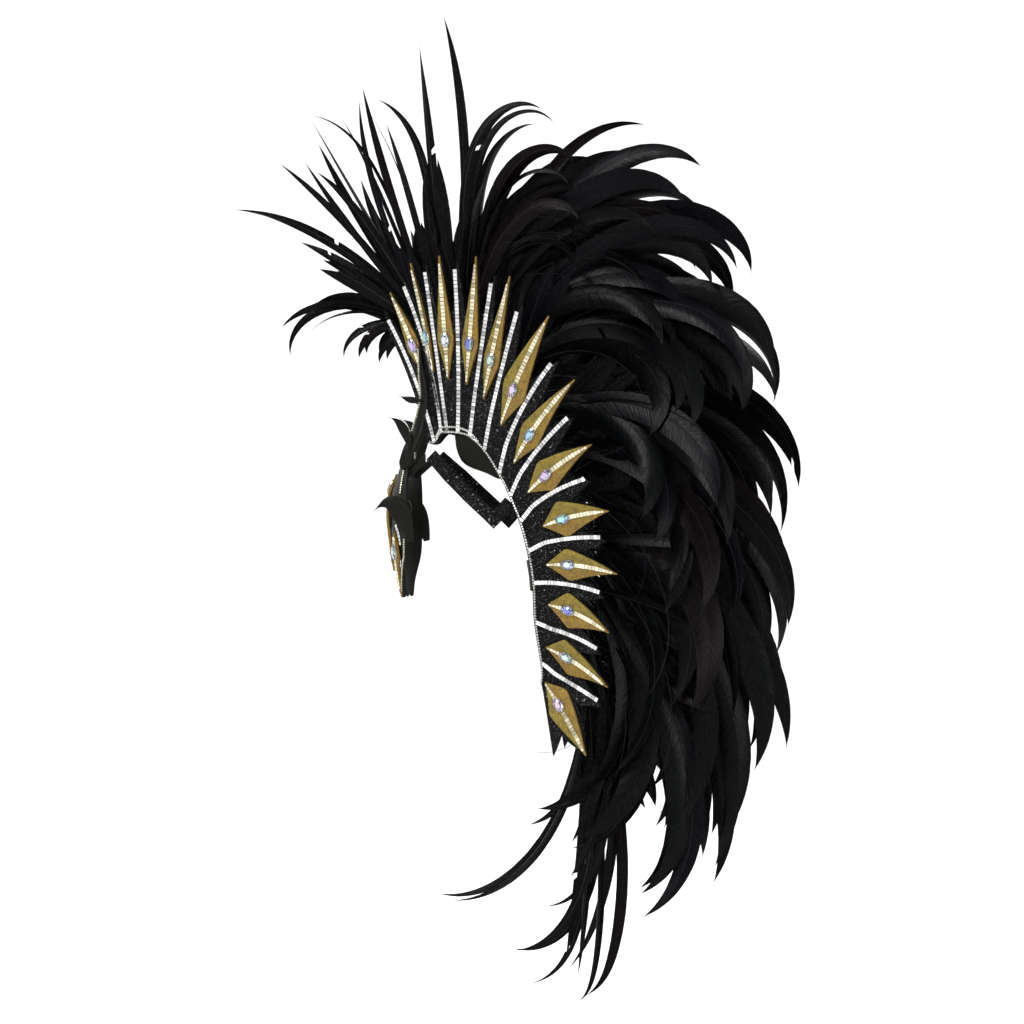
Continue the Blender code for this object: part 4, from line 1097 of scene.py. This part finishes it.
def band_route(points, upright):
    """Middle, direction across and normal of a flat band at each point of its route."""
    frames = []
    for i, point in enumerate(points):
        before = point - points[max(i - 1, 0)]
        after = points[min(i + 1, len(points) - 1)] - point
        before = before if before.length else after
        after = after if after.length else before
        before = before.normalized()
        after = after.normalized()
        ahead = (before + after).normalized()
        spread = 1.0 if upright else 1.0 / max(before.dot(ahead), 0.5)
        across = Vector((0.0, 0.0, 1.0)) if upright else ahead.cross(Vector((0.0, -1.0, 0.0))).normalized()
        frames.append((point, across * spread, across.cross(ahead).normalized()))
    return frames


def make_band(name, points, width, upright, finish):
    """Flat band with a raised, softly padded middle and thin edges."""
    outer = []
    inner = []
    for point, across, normal in band_route(points, upright):
        outer.append([point + across * width * x + normal * BAND_WALL * y for x, y in BAND_SECTION])
        inner.append([point + across * width * x - normal * BAND_WALL * y for x, y in BAND_SECTION])
    mesh_points, faces = walled(outer, inner)
    return soften(make_object(name, mesh_points, faces, [finish]), BAND_ROUND, 60.0)


def strap_route():
    """Middle line of the left side strap, eased between its corners."""
    corners = [Vector((row["back"] * STRAP_FORWARD, -row["half"] * STRAP_HALF, row["up"] * STRAP_DROP))
               for row in named(STRAP_COLUMNS, STRAP_ROWS)]
    route = [corners[0]]
    for a, b in zip(corners, corners[1:]):
        route += [a.lerp(b, k / 4) for k in (1, 2, 3)] + [b]
    return route


def make_forehead_band(finish):
    """Band behind the brow of the mask, whose ends reach back to the side straps."""
    row = mask_row(FOREHEAD_UP)
    route = []
    for i in range(25):
        point, normal = mask_frame(row, -0.8 + 1.6 * i / 24)
        route.append(point - normal * (MASK_WALL + BAND_STANDOFF))
    end = strap_route()[0] - Vector((GAP + STRAP_WIDTH * BAND_END_BACK, 0.0, STRAP_WIDTH * BAND_END_DOWN))
    route = [end] + route + [Vector((end.x, -end.y, end.z))]
    return make_band("forehead_band_look", route, FOREHEAD_WIDTH, True, finish)


# Crown pad

def make_crown_pad(finishes):
    """Saddle over the crown with drop-shaped flaps, and a silver cord along each hem."""
    outer = []
    inner = []
    for i in range(PAD_STATIONS):
        share = i / (PAD_STATIONS - 1)
        rim = crest_point(PAD_START + (PAD_END - PAD_START) * share, 0.0)
        swell = max(math.sin(math.pi * min(share / PAD_FLAP, 1.0) ** PAD_SKEW), 0.0)
        drop = PAD_HEM + PAD_DROP * swell ** PAD_ROUND
        inside = -rim.y - PANEL_WALL / 2 - GAP - PAD_WALL
        for rows, wall in ((inner, 0.0), (outer, PAD_WALL)):
            half = inside + wall
            row = [Vector((rim.x, -half, rim.z - drop * (1 - k / PAD_SIDE_STEPS)))
                   for k in range(PAD_SIDE_STEPS)]
            for k in range(PAD_STEPS + 1):
                angle = math.pi * k / PAD_STEPS
                up = rim.z + PAD_LAP + PAD_ARCH * math.sin(angle) + wall
                row.append(Vector((rim.x, -half * math.cos(angle), up)))
            row += [Vector((p.x, -p.y, p.z)) for p in reversed(row[:PAD_SIDE_STEPS])]
            rows.append(row)
    points, faces = walled(outer, inner)
    pad = soften(make_object("crown_saddle", points, faces, finishes), BOARD_ROUND)
    hems = [pad]
    for edge in (0, -1):
        route = [(a[edge] + b[edge]) / 2 for a, b in zip(outer, inner)]
        hems.append(make_cord("hem_cord", route, PIPING, finishes, 1))
    return join("crown_pad_look", hems)


def make_cord(name, route, radius, finishes, finish):
    """Round cord along a route."""
    sides = 8
    points = []
    for i, point in enumerate(route):
        ahead = (route[min(i + 1, len(route) - 1)] - route[max(i - 1, 0)]).normalized()
        across = ahead.cross(Vector((0.0, 1.0, 0.0))).normalized()
        lift = across.cross(ahead)
        for j in range(sides):
            angle = 2 * math.pi * j / sides
            points.append(point + (across * math.cos(angle) + lift * math.sin(angle)) * radius)
    faces = tube_faces(len(route), sides)
    return make_object(name, points, faces, finishes, [finish] * len(faces), smooth=True)


# Mask

MASK = Rows(MASK_COLUMNS, MASK_ROWS)


def mask_row(up):
    """Place down the mask's rows of a height given as a share of MASK_HEIGHT."""
    low, high = 0.0, float(MASK.last)
    for _ in range(30):
        middle = (low + high) / 2
        if MASK.at("up", middle) > up:
            low = middle
        else:
            high = middle
    return (low + high) / 2


def mask_point(row, across):
    """Point on the outer face of the mask."""
    front = MASK.at("front", row) * MASK_FRONT
    side = MASK.at("side", row) * MASK_SIDE
    half = MASK.at("half", row) * MASK_HALF
    depth = (front - side) * (1.0 - abs(across) ** MASK_ROUND)
    return Vector((-side - depth, half * across, MASK.at("up", row) * MASK_HEIGHT))


def mask_frame(row, across):
    """Point on the outer face of the mask and its outward normal."""
    down = mask_point(row + 0.05, across) - mask_point(row - 0.05, across)
    beside = mask_point(row, across + 0.02) - mask_point(row, across - 0.02)
    normal = down.cross(beside).normalized()
    if normal.x > 0:
        normal = -normal
    return mask_point(row, across), normal


def rounded(points, times=3):
    """Closed outline with its corners cut again and again."""
    for _ in range(times):
        cut = []
        for a, b in zip(points, points[1:] + points[:1]):
            cut.append((a[0] * 0.75 + b[0] * 0.25, a[1] * 0.75 + b[1] * 0.25))
            cut.append((a[0] * 0.25 + b[0] * 0.75, a[1] * 0.25 + b[1] * 0.75))
        points = cut
    return points


def inside_outline(x, y, outline):
    """Whether a point lies inside a closed outline."""
    found = False
    for (ax, ay), (bx, by) in zip(outline, outline[1:] + outline[:1]):
        if (ay > y) != (by > y) and x < (bx - ax) * (y - ay) / (by - ay) + ax:
            found = not found
    return found


def nearest_on(x, y, starts, steps):
    """Nearest point of an outline, whose sides are given as starts and steps."""
    spot = np.array((x, y))
    share = ((spot - starts) * steps).sum(1) / np.maximum((steps * steps).sum(1), 1e-12)
    foot = starts + steps * np.clip(share, 0.0, 1.0)[:, None]
    best = ((foot - spot) ** 2).sum(1).argmin()
    return foot[best]


def make_mask_shell(finishes):
    """Curved board cut to the outline of brow, nose guard and cheek guards."""
    half = list(MASK_OUTLINE)
    outline = rounded(half + [(-x, y) for x, y in reversed(half[1:])])
    starts = np.array(outline)
    steps = np.roll(starts, -1, 0) - starts
    top = MASK_ROWS[0][0]
    low = MASK_ROWS[-1][0]
    across = [-1.0 + 2.0 * i / MASK_CELLS for i in range(MASK_CELLS + 1)]
    ups = [top + (low - top) * j / MASK_CELLS for j in range(MASK_CELLS + 1)]
    kept = set()
    for j in range(MASK_CELLS):
        for i in range(MASK_CELLS):
            if inside_outline((across[i] + across[i + 1]) / 2, (ups[j] + ups[j + 1]) / 2, outline):
                kept.add((j, i))
    frames = []
    for j in range(MASK_CELLS + 1):
        row = []
        for i in range(MASK_CELLS + 1):
            around = sum(cell in kept for cell in ((j - 1, i - 1), (j - 1, i), (j, i - 1), (j, i)))
            x, y = across[i], ups[j]
            if 0 < around < 4:
                x, y = nearest_on(x, y, starts, steps)
            row.append(mask_frame(mask_row(y), x))
        frames.append(row)
    points, faces = wall_on(frames, -MASK_WALL, 0.0, lambda j, i: (j, i) in kept)
    return soften(make_object("mask_shell", points, faces, finishes), BOARD_ROUND, 50.0)


def blade(name, rings_of, stations, finishes):
    """Slim rounded blade: rings_of gives middle, half across and half thick at each share."""
    points = []
    for i in range(stations):
        middle, across, thick = rings_of(i / (stations - 1))
        for j in range(BLADE_SIDES):
            angle = 2 * math.pi * j / BLADE_SIDES
            swell = 0.55 + 0.45 * abs(math.sin(angle))
            points.append(middle + across * math.cos(angle) + thick * math.sin(angle) * swell)
    faces = tube_faces(stations, BLADE_SIDES)
    made = make_object(name, points, faces, finishes, smooth=True)
    work = bmesh.new()
    work.from_mesh(made.data)
    bmesh.ops.recalc_face_normals(work, faces=work.faces)
    work.to_mesh(made.data)
    work.free()
    return made


ARM = Rows(ARM_COLUMNS, ARM_ROWS)


def arm_place(share):
    """Point on the middle line of the left arm."""
    place = share * ARM.last
    return Vector((ARM.at("back", place) * ARM_FORWARD, -ARM.at("half", place) * ARM_HALF,
                   ARM.at("up", place) * ARM_RISE))


def arm_frame(share):
    """Middle, direction across towards the front and outward normal of the left arm."""
    ahead = (arm_place(min(share + 0.01, 1.0)) - arm_place(max(share - 0.01, 0.0))).normalized()
    across = ahead.cross(Vector((0.0, -1.0, 0.0))).normalized()
    return arm_place(share), across, across.cross(ahead).normalized()


def arm_ring(share):
    """Middle, half across and half thick of the left arm."""
    middle, across, normal = arm_frame(share)
    heel = math.sqrt(min(1.0, (share + 0.002) / ARM_HEEL))
    width = ARM_WIDTH * max(ARM.at("width", share * ARM.last), 0.08) * heel
    return middle, across * width / 2, normal * (0.0010 + 0.0012 * min(1.0, width / 0.008))


def make_mask(finishes, dice):
    """Shell with its two arms, the trims of both sides, and a chain up each arm."""
    shell = make_mask_shell(finishes)
    trims = Trims("mask_trims", finishes)
    for kind, places in MASK_TRIMS:
        route = []
        for (up_a, across_a), (up_b, across_b) in zip(places, places[1:]):
            for k in range(8):
                route.append(mask_frame(mask_row(up_a + (up_b - up_a) * k / 8),
                                        across_a + (across_b - across_a) * k / 8))
        if kind == "chain":
            chain_run(trims, route, 0.0, dice, PEARL_PITCH, PEARL_STONE, 2, 3, PEARL_WARMTH)
        else:
            tile_run(trims, route, [MASK_STRIP_WIDTH] * len(route), 0.0, dice, 1)
    route = []
    for k in range(41):
        middle, across, normal = arm_ring(ARM_CHAIN[0] + (ARM_CHAIN[1] - ARM_CHAIN[0]) * k / 40)
        route.append((middle - across * 0.80 + normal * 0.5, normal.normalized()))
    chain_run(trims, route, 0.0, dice, ARM_PEARL_PITCH, ARM_PEARL_STONE, 2, 3, PEARL_WARMTH)
    left = [blade("mask_arm", arm_ring, ARM_STATIONS, finishes), trims.build()]
    right = [mirrored(piece, piece.name + "_right") for piece in left]
    return join("mask_look", [shell] + left + right)


def make_mask_kite(row, finishes, dice):
    """Gold kite that follows the mask, with its mirror strip and its stone."""
    surface = SEAT_GAP + KITE_WALL
    frames = []
    route = []
    for i in range(MASK_KITE_STATIONS + 1):
        up = row["top"] + (row["bottom"] - row["top"]) * i / MASK_KITE_STATIONS
        if up > row["widest"]:
            share = (row["top"] - up) / (row["top"] - row["widest"])
        else:
            share = (up - row["bottom"]) / (row["widest"] - row["bottom"])
        reach = row["breadth"] * max(share, 0.05)
        frames.append([mask_frame(mask_row(up), row["middle"] + k / 4 * reach) for k in range(-4, 5)])
        if 1 < i < MASK_KITE_STATIONS - 1:
            point, normal = frames[-1][4]
            route.append((point + normal * surface, normal))
    points, faces = wall_on(frames, SEAT_GAP, surface)
    board = soften(make_object("kite_board", points, faces, finishes), KITE_ROUND)
    trims = Trims("kite_trims", finishes)
    tile_run(trims, route, [KITE_STRIP_WIDTH * 0.85] * len(route), 0.0, dice, KITE_TILE)
    seat = mask_row(row["stone"])
    point, normal = mask_frame(seat, row["middle"])
    down = mask_point(seat + 0.1, row["middle"]) - mask_point(seat - 0.1, row["middle"])
    oval_stone(trims, point + normal * surface, normal, -down.normalized(), dice, 3)
    return join("mask_kite_look_" + row["name"], [board, trims.build()])


def make_horn(row, finishes):
    """Leaf-shaped blade along a bent middle line."""
    root, bend, tip = (Vector((row[end + "_back"] * ARM_FORWARD, 0.0, row[end + "_up"] * MASK_HEIGHT))
                       for end in ("root", "bend", "tip"))
    aside = Vector((0.0, -row["half"] * MASK_HALF - HORN_WALL / 2, 0.0))

    def ring(share):
        middle = root * (1 - share) ** 2 + bend * 2 * share * (1 - share) + tip * share ** 2
        ahead = ((bend - root) * (1 - share) + (tip - bend) * share).normalized()
        leaf = HORN_ROOT + (1.1 - HORN_ROOT) * math.sin(math.pi * min(share * 1.05 + 0.04, 1.0))
        half = max(row["breadth"] * HORN_BREADTH / 2 * (1 - share ** HORN_TAPER) * leaf, 0.0003)
        across = ahead.cross(Vector((0.0, 1.0, 0.0))) * half
        return middle + aside, across, Vector((0.0, min(HORN_WALL / 2, half), 0.0))

    return blade("horn_%s_look" % row["name"], ring, HORN_STATIONS, finishes)


# Feathers

def fin_top(place):
    """Point on the edge of the middle fin, where a feather is rooted."""
    point = crest_point(place, CREST.at("reach", place) * RAY_REACH * FIN_SHARE)
    return np.array((point.x, 0.0, point.z))


def feather_route(root, side, lean, curl, late, length):
    """Middle line of a feather."""
    share = (np.arange(ROUTE_STEPS) + 0.5) / ROUTE_STEPS
    angle = np.radians(lean + curl * ((1 - late) * share + late * share ** LOCK_LATE))
    step = np.stack((np.sin(angle), np.zeros(ROUTE_STEPS), np.cos(angle)), 1) * length / ROUTE_STEPS
    line = np.vstack((np.zeros((1, 3)), np.cumsum(step, 0))) + fin_top(root)
    line[:, 1] += side * PLUME_SPREAD * (np.arange(ROUTE_STEPS + 1) / ROUTE_STEPS) ** LOCK_FLARE
    return line


def along_route(line, share):
    """Points on a route, also a little past its end, and the directions there."""
    place = np.clip(share, 0.0, 1.0) * (len(line) - 1)
    i = np.minimum(place.astype(int), len(line) - 2)
    t = (place - i)[..., None]
    ahead = line[i + 1] - line[i]
    point = line[i] + ahead * t
    unit = ahead / np.linalg.norm(ahead, axis=-1, keepdims=True)
    past = np.maximum(share - 1.0, 0.0)[..., None]
    return point + unit * past * np.linalg.norm(line[-1] - line[-2]) * len(line), unit


def vane_profile(share, slim):
    """Half width of a vane from its root to its tip, as a share of the widest."""
    if slim:
        rise = np.clip(share / 0.45, 0.0, 1.0)
        fall = np.clip((share - 0.62) / 0.38, 0.0, 1.0)
        return (0.52 + 0.48 * np.sin(rise * math.pi / 2)) * (1.0 - fall ** 2.2)
    rise = np.clip(share / 0.55, 0.0, 1.0)
    fall = np.clip((share - 0.60) / 0.40, 0.0, 1.0)
    return (0.28 + 0.72 * np.sin(rise * math.pi / 2)) * (1.0 - fall ** 2.1)


def eased(values, start, limit):
    """Values that bend toward a limit once they are past a start, on both sides of zero."""
    room = limit - start
    past = np.maximum(np.abs(values) - start, 0.0)
    return np.sign(values) * (np.minimum(np.abs(values), start) + room * np.tanh(past / room))


def feather_frame(ahead):
    """Directions out of and across a feather that lies flat, at each point of its line."""
    sideways = np.array((0.0, 1.0, 0.0))
    flat = sideways - ahead * (ahead @ sideways)[..., None]
    flat /= np.linalg.norm(flat, axis=-1, keepdims=True)
    return flat, np.cross(flat, ahead)


class Feathers:
    """Feathers of one plume gathered into one mesh."""

    def __init__(self, name, finishes):
        self.name = name
        self.finishes = finishes
        self.points = []
        self.faces = []
        self.uvs = []
        self.tints = []
        self.count = 0

    def gather(self, points, faces, uvs, tint):
        """Takes points and their faces, whose numbers count from the first of these points."""
        size = points.size // 3
        self.points.append(points.reshape(size, 3))
        self.faces.append(faces + self.count)
        self.uvs.append(uvs.reshape(size, 2))
        self.tints.append(np.tile(np.array((*tint, 1.0), np.float32), (size, 1)))
        self.count += size

    def add(self, line, breadth, roll, twist, cup, tint, dice, slim):
        """One feather: two vanes, now and then with a split in the broader one, and the quill."""
        length = float(np.linalg.norm(np.diff(line, axis=0), axis=1).sum())
        root_share = np.linspace(0.06, 1.0, BARB_LINES)[:, None]
        shares = np.array(VANE_SHARES)[None, :]
        columns = len(VANE_SHARES)
        for sign, part in VANE_PARTS:
            rough = 1.0 - BARB_UNEVEN * dice.random(BARB_LINES)
            back = np.zeros(BARB_LINES)
            cuts = []
            tears = int(part > 0.5 and dice.random() < TEAR_CHANCE)
            for cut in dice.integers(TEAR_PLACES[0], BARB_LINES - TEAR_PLACES[1], size=tears):
                depth = int(dice.integers(*TEAR_DEPTH))
                reach = dice.uniform(*TEAR_REACH)
                for k in range(depth):
                    if cut - k > 0:
                        back[cut - k] -= reach * (1 - k / depth)
                cuts.append(cut)
            share = root_share + shares * BARB_SWEEP * breadth / length + back[:, None] * shares ** 2
            point, ahead = along_route(line, share)
            wide = vane_profile(np.clip(share, 0.0, 1.0), slim) * breadth * part
            wide = wide * shares * np.where(shares > 0.9, rough[:, None], 1.0)
            flat, across = feather_frame(ahead)
            angle = (roll + twist * share)[..., None]
            normal = flat * np.cos(angle) + across * np.sin(angle)
            across = np.cross(normal, ahead)
            lift = -cup * wide ** 2 / breadth + 0.10 * wide
            point = point + across * (sign * wide)[..., None] - normal * lift[..., None]
            i, j = np.meshgrid(np.arange(BARB_LINES - 1), np.arange(columns - 1), indexing="ij")
            a = (i * columns + j)[~(np.isin(i, cuts) & (j > 0))]
            quad = np.stack((a, a + 1, a + columns + 1, a + columns), 1)
            if sign > 0:
                quad = quad[:, ::-1]
            along = np.broadcast_to(root_share * length, wide.shape)
            self.gather(point, quad, np.stack((along, sign * wide), -1), tint)
        # Painted highlight: the quill is painted a lighter grey than its vanes
        pale = dice.choice(QUILL_HIGHLIGHT_GREYS)
        self.quill(line, (tint[0] + pale, tint[1] + pale, tint[2] + pale))

    def quill(self, line, tint):
        share = np.linspace(0.0, 0.97, QUILL_STATIONS)
        point, ahead = along_route(line, share)
        radius = QUILL_RADIUS * (1.0 - 0.82 * share)
        flat, across = feather_frame(ahead)
        angle = (np.arange(QUILL_SIDES) / QUILL_SIDES * 2 * math.pi)[None, :, None]
        ring = flat[:, None, :] * np.cos(angle) + across[:, None, :] * np.sin(angle)
        i, j = np.meshgrid(np.arange(QUILL_STATIONS - 1), np.arange(QUILL_SIDES), indexing="ij")
        a = i * QUILL_SIDES + j
        b = i * QUILL_SIDES + (j + 1) % QUILL_SIDES
        quad = np.stack((a, b, b + QUILL_SIDES, a + QUILL_SIDES), -1).reshape(-1, 4)
        uvs = np.stack(np.broadcast_arrays(share[:, None], np.zeros((1, QUILL_SIDES))), -1)
        self.gather(point[:, None, :] + ring * radius[:, None, None], quad, uvs, tint)

    def build(self):
        points = np.vstack(self.points)
        points[:, 1] = eased(points[:, 1], SIDE_EASE, SIDE_LIMIT)
        points[:, 2] = eased(points[:, 2], DROP_EASE, DROP_LIMIT)
        faces = np.vstack(self.faces)
        mesh = bpy.data.meshes.new(self.name)
        mesh.vertices.add(len(points))
        mesh.vertices.foreach_set("co", points.ravel())
        mesh.loops.add(faces.size)
        mesh.loops.foreach_set("vertex_index", faces.ravel())
        mesh.polygons.add(len(faces))
        mesh.polygons.foreach_set("loop_start", np.arange(0, faces.size, 4))
        mesh.polygons.foreach_set("use_smooth", np.ones(len(faces), bool))
        mesh.update(calc_edges=True)
        corners = faces.ravel()
        layer = mesh.uv_layers.new(name="vane")
        layer.data.foreach_set("uv", np.vstack(self.uvs)[corners].ravel().astype(np.float32))
        colours = mesh.color_attributes.new("tint", "FLOAT_COLOR", "CORNER")
        colours.data.foreach_set("color", np.vstack(self.tints)[corners].ravel().astype(np.float32))
        for finish in self.finishes:
            mesh.materials.append(finish)
        return placed(self.name, mesh)


def make_plume(name, rows, finish, seed):
    """Bundles of curved feathers, and the short ones that cover their roots."""
    dice = np.random.default_rng(seed)
    plume = Feathers(name + "_feathers", [finish])
    slim = name in SLIM_PLUMES

    def lay(root, side, lean, curl, late, length, breadth):
        line = feather_route(root, side, lean, curl, late, length * PLUME_LENGTH)
        roll = math.radians(dice.normal(0.0, FEATHER_ROLL))
        twist = math.radians(dice.normal(0.0, FEATHER_TWIST))
        tint = FEATHER_SHEEN_COLOURS[int(dice.integers(len(FEATHER_SHEEN_COLOURS)))]
        plume.add(line, breadth * PLUME_BREADTH, roll, twist, dice.uniform(*FEATHER_CUP), tint, dice, slim)

    rows = named(BUNDLE_COLUMNS, rows)
    for row in rows:
        for k in range(row["count"]):
            loose = row["loose"] * min(k, 1)
            under = k / max(row["count"] - 1, 1)
            hang = 0.0 if slim else HANG * under
            lay(row["root"] + loose * dice.uniform(-STRAY_ROOT, STRAY_ROOT),
                row["side"] + loose * dice.uniform(-STRAY_SIDE, STRAY_SIDE),
                row["lean"] + loose * dice.normal(0.0, STRAY_LEAN),
                row["curl"] + hang + loose * dice.normal(0.0, STRAY_CURL),
                row["late"] * (1.0 - EARLIER * under),
                row["length"] * (1.0 - SHORTER * loose * under),
                row["breadth"] * dice.uniform(*BREADTH_SPREAD))
    for row in rows:
        if not slim:
            bare = feather_route(row["root"] + dice.uniform(-BARE_ROOT, BARE_ROOT),
                                 -BARE_SIDE * dice.uniform(*BARE_ASIDE),
                                 row["lean"] + dice.normal(0.0, BARE_LEAN),
                                 row["curl"] + HANG + dice.normal(0.0, BARE_CURL), row["late"] * 0.5,
                                 row["length"] * dice.uniform(*BARE_LENGTH) * PLUME_LENGTH)
            # Painted highlight: a bare quill is painted in one of the lighter greys
            plume.quill(bare, (dice.choice(QUILL_HIGHLIGHT_GREYS[1:]),) * 3)
    first = min(row["root"] for row in rows)
    last = max(row["root"] for row in rows)
    breadth = UNDERLAY_BREADTH * (SLIM_UNDERLAY if slim else 1.0)
    for _ in range(round(UNDERLAY_COUNT * (last - first + 0.5))):
        root = dice.uniform(first - UNDERLAY_PAST, last + UNDERLAY_PAST)
        curl = dice.uniform(*(SPRAY_CURL if root < SPRAY_END else UNDERLAY_CURL))
        lay(root, dice.uniform(-UNDERLAY_SIDE, UNDERLAY_SIDE),
            CREST.at("lean", root) + dice.normal(0.0, UNDERLAY_LEAN), curl, UNDERLAY_LATE,
            dice.uniform(*(SPRAY_LENGTH if root < SPRAY_END else UNDERLAY_LENGTH)),
            breadth * dice.uniform(*UNDERLAY_SPREAD))
    return plume.build()


# View, light and floor

def make_camera():
    """Level camera a little in front of the wearer's left side."""
    view = bpy.data.cameras.new("view")
    view.sensor_width = SENSOR * 1000
    view.lens = SENSOR * 1000 * VIEW_DISTANCE / (PICTURE * PIXEL)
    made = placed("view", view)
    centre = PICTURE / 2
    aim = Vector(((centre - SEAT_DOT[0]) * PIXEL / math.cos(VIEW_TURN), 0.0,
                  (SEAT_DOT[1] - centre) * PIXEL))
    made.location = aim + Vector((math.sin(VIEW_TURN), -math.cos(VIEW_TURN), 0.0)) * VIEW_DISTANCE
    made.rotation_euler = (math.pi / 2, 0.0, VIEW_TURN)
    bpy.context.scene.camera = made


def make_light(name, place, aim, size, power):
    """Square lamp turned to a point."""
    lamp = bpy.data.lights.new(name, "AREA")
    lamp.shape = "SQUARE"
    lamp.size = size
    lamp.energy = power
    made = placed(name, lamp)
    made.location = place
    made.rotation_euler = (Vector(aim) - Vector(place)).to_track_quat("-Z", "Y").to_euler()


def make_floor(finish):
    """Round floor that curves up into a low backdrop all round."""
    profile = [(FLOOR_MIDDLE, 0.0), (FLOOR_FLAT, 0.0)]
    for i in range(1, FLOOR_BEND_STEPS + 1):
        turn = math.pi / 2 * i / FLOOR_BEND_STEPS
        profile.append((FLOOR_FLAT + FLOOR_BEND * math.sin(turn), FLOOR_BEND * (1 - math.cos(turn))))
    profile.append((FLOOR_FLAT + FLOOR_BEND, FLOOR_TOP))
    points = []
    for radius, up in profile:
        for i in range(FLOOR_SIDES):
            angle = 2 * math.pi * i / FLOOR_SIDES
            points.append((radius * math.cos(angle), radius * math.sin(angle), FLOOR_LEVEL + up))
    faces = [tuple(range(FLOOR_SIDES))]
    for ring in range(len(profile) - 1):
        faces += ring_faces((ring + 1) * FLOOR_SIDES, ring * FLOOR_SIDES, FLOOR_SIDES)
    return make_object("floor", points, faces, [finish], smooth=True)


def make_world():
    world = bpy.data.worlds.new("studio")
    world.use_nodes = True
    feed(world.node_tree, world.node_tree.nodes["Background"], Color=(1.0, 1.0, 1.0, 1.0),
         Strength=WORLD_STRENGTH)
    bpy.context.scene.world = world


def paint(name, finish):
    """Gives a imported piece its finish."""
    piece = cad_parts[name]
    piece.data.materials.clear()
    piece.data.materials.append(finish)


def shown(piece, slot, *nodes):
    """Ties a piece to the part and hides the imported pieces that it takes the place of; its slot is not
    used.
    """
    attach(piece, "root")
    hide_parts(*nodes)


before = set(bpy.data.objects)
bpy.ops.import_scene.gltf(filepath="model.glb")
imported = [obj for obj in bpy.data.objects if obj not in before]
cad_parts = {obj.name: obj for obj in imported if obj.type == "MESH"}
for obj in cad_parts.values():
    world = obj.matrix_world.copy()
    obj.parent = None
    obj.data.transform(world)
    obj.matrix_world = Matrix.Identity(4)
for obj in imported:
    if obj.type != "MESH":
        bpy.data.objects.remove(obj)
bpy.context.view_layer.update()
make_camera()
make_world()
for light in LIGHTS:
    make_light(*light)
bpy.context.scene.view_settings.view_transform = "Standard"

flakes = glitter_flakes()
patches = soft_patches()
board = black_board_finish(flakes, patches)
gold = gold_glitter_finish(flakes, patches)
mirror = mirror_tile_finish("mirror tile", *WHITE_TILE)
cream = mirror_tile_finish("cream mirror tile", *CREAM_TILE)
satin = satin_board_finish(patches)
stone = stone_finish()
silver = setting_metal_finish()
feather = feather_finish(patches)
kite_finishes = [gold, cream, stone, silver]

dice = random.Random(TRIM_SEED)
panel = make_side_panel(board)
shown(panel, "glitter_board", "side_panel_left")
shown(mirrored(panel, "panel_right"), "glitter_board", "side_panel_right")
trim = make_edge_trim([mirror, silver, stone], dice)
shown(trim, "mirror_tile", "edge_trim_left")
shown(mirrored(trim, "trim_right"), "mirror_tile", "edge_trim_right")
for spike in range(1, SPIKES + 1):
    kite = make_kite(spike, kite_finishes, dice)
    shown(kite, "gold_glitter", "kite_left_%02d" % spike)
    shown(mirrored(kite, "kite_right_look_%02d" % spike), "gold_glitter", "kite_right_%02d" % spike)
for number, (name, rows) in enumerate(BUNDLES.items()):
    shown(make_plume(name, rows, feather, FIRST_PLUME_SEED + number), "black_feather", name)
shown(make_crown_pad([satin, silver]), "glitter_board", "crown_pad")
shown(make_mask([satin, mirror, silver, stone], dice), "glitter_board", "face_mask")
nose, cheek = named(MASK_KITE_COLUMNS, MASK_KITE_ROWS)
shown(make_mask_kite(nose, kite_finishes, dice), "gold_glitter", "mask_kite_nose")
cheek_kite = make_mask_kite(cheek, kite_finishes, dice)
shown(cheek_kite, "gold_glitter", "mask_kite_cheek_left")
shown(mirrored(cheek_kite, "mask_kite_look_cheek_right"), "gold_glitter", "mask_kite_cheek_right")
for row in named(HORN_COLUMNS, HORN_ROWS):
    horn = make_horn(row, [satin])
    shown(horn, "glitter_board", "horn_%s_left" % row["name"])
    shown(mirrored(horn, "horn_%s_right_look" % row["name"]), "glitter_board",
          "horn_%s_right" % row["name"])
shown(make_forehead_band(satin), "glitter_board", "forehead_band")
strap = make_band("strap_left", strap_route(), STRAP_WIDTH, False, board)
shown(strap, "glitter_board", "side_strap_left")
shown(mirrored(strap, "strap_right"), "glitter_board", "side_strap_right")
for name in ("crest_base", "nape_band"):
    paint(name, board)
floor = make_floor(floor_finish())
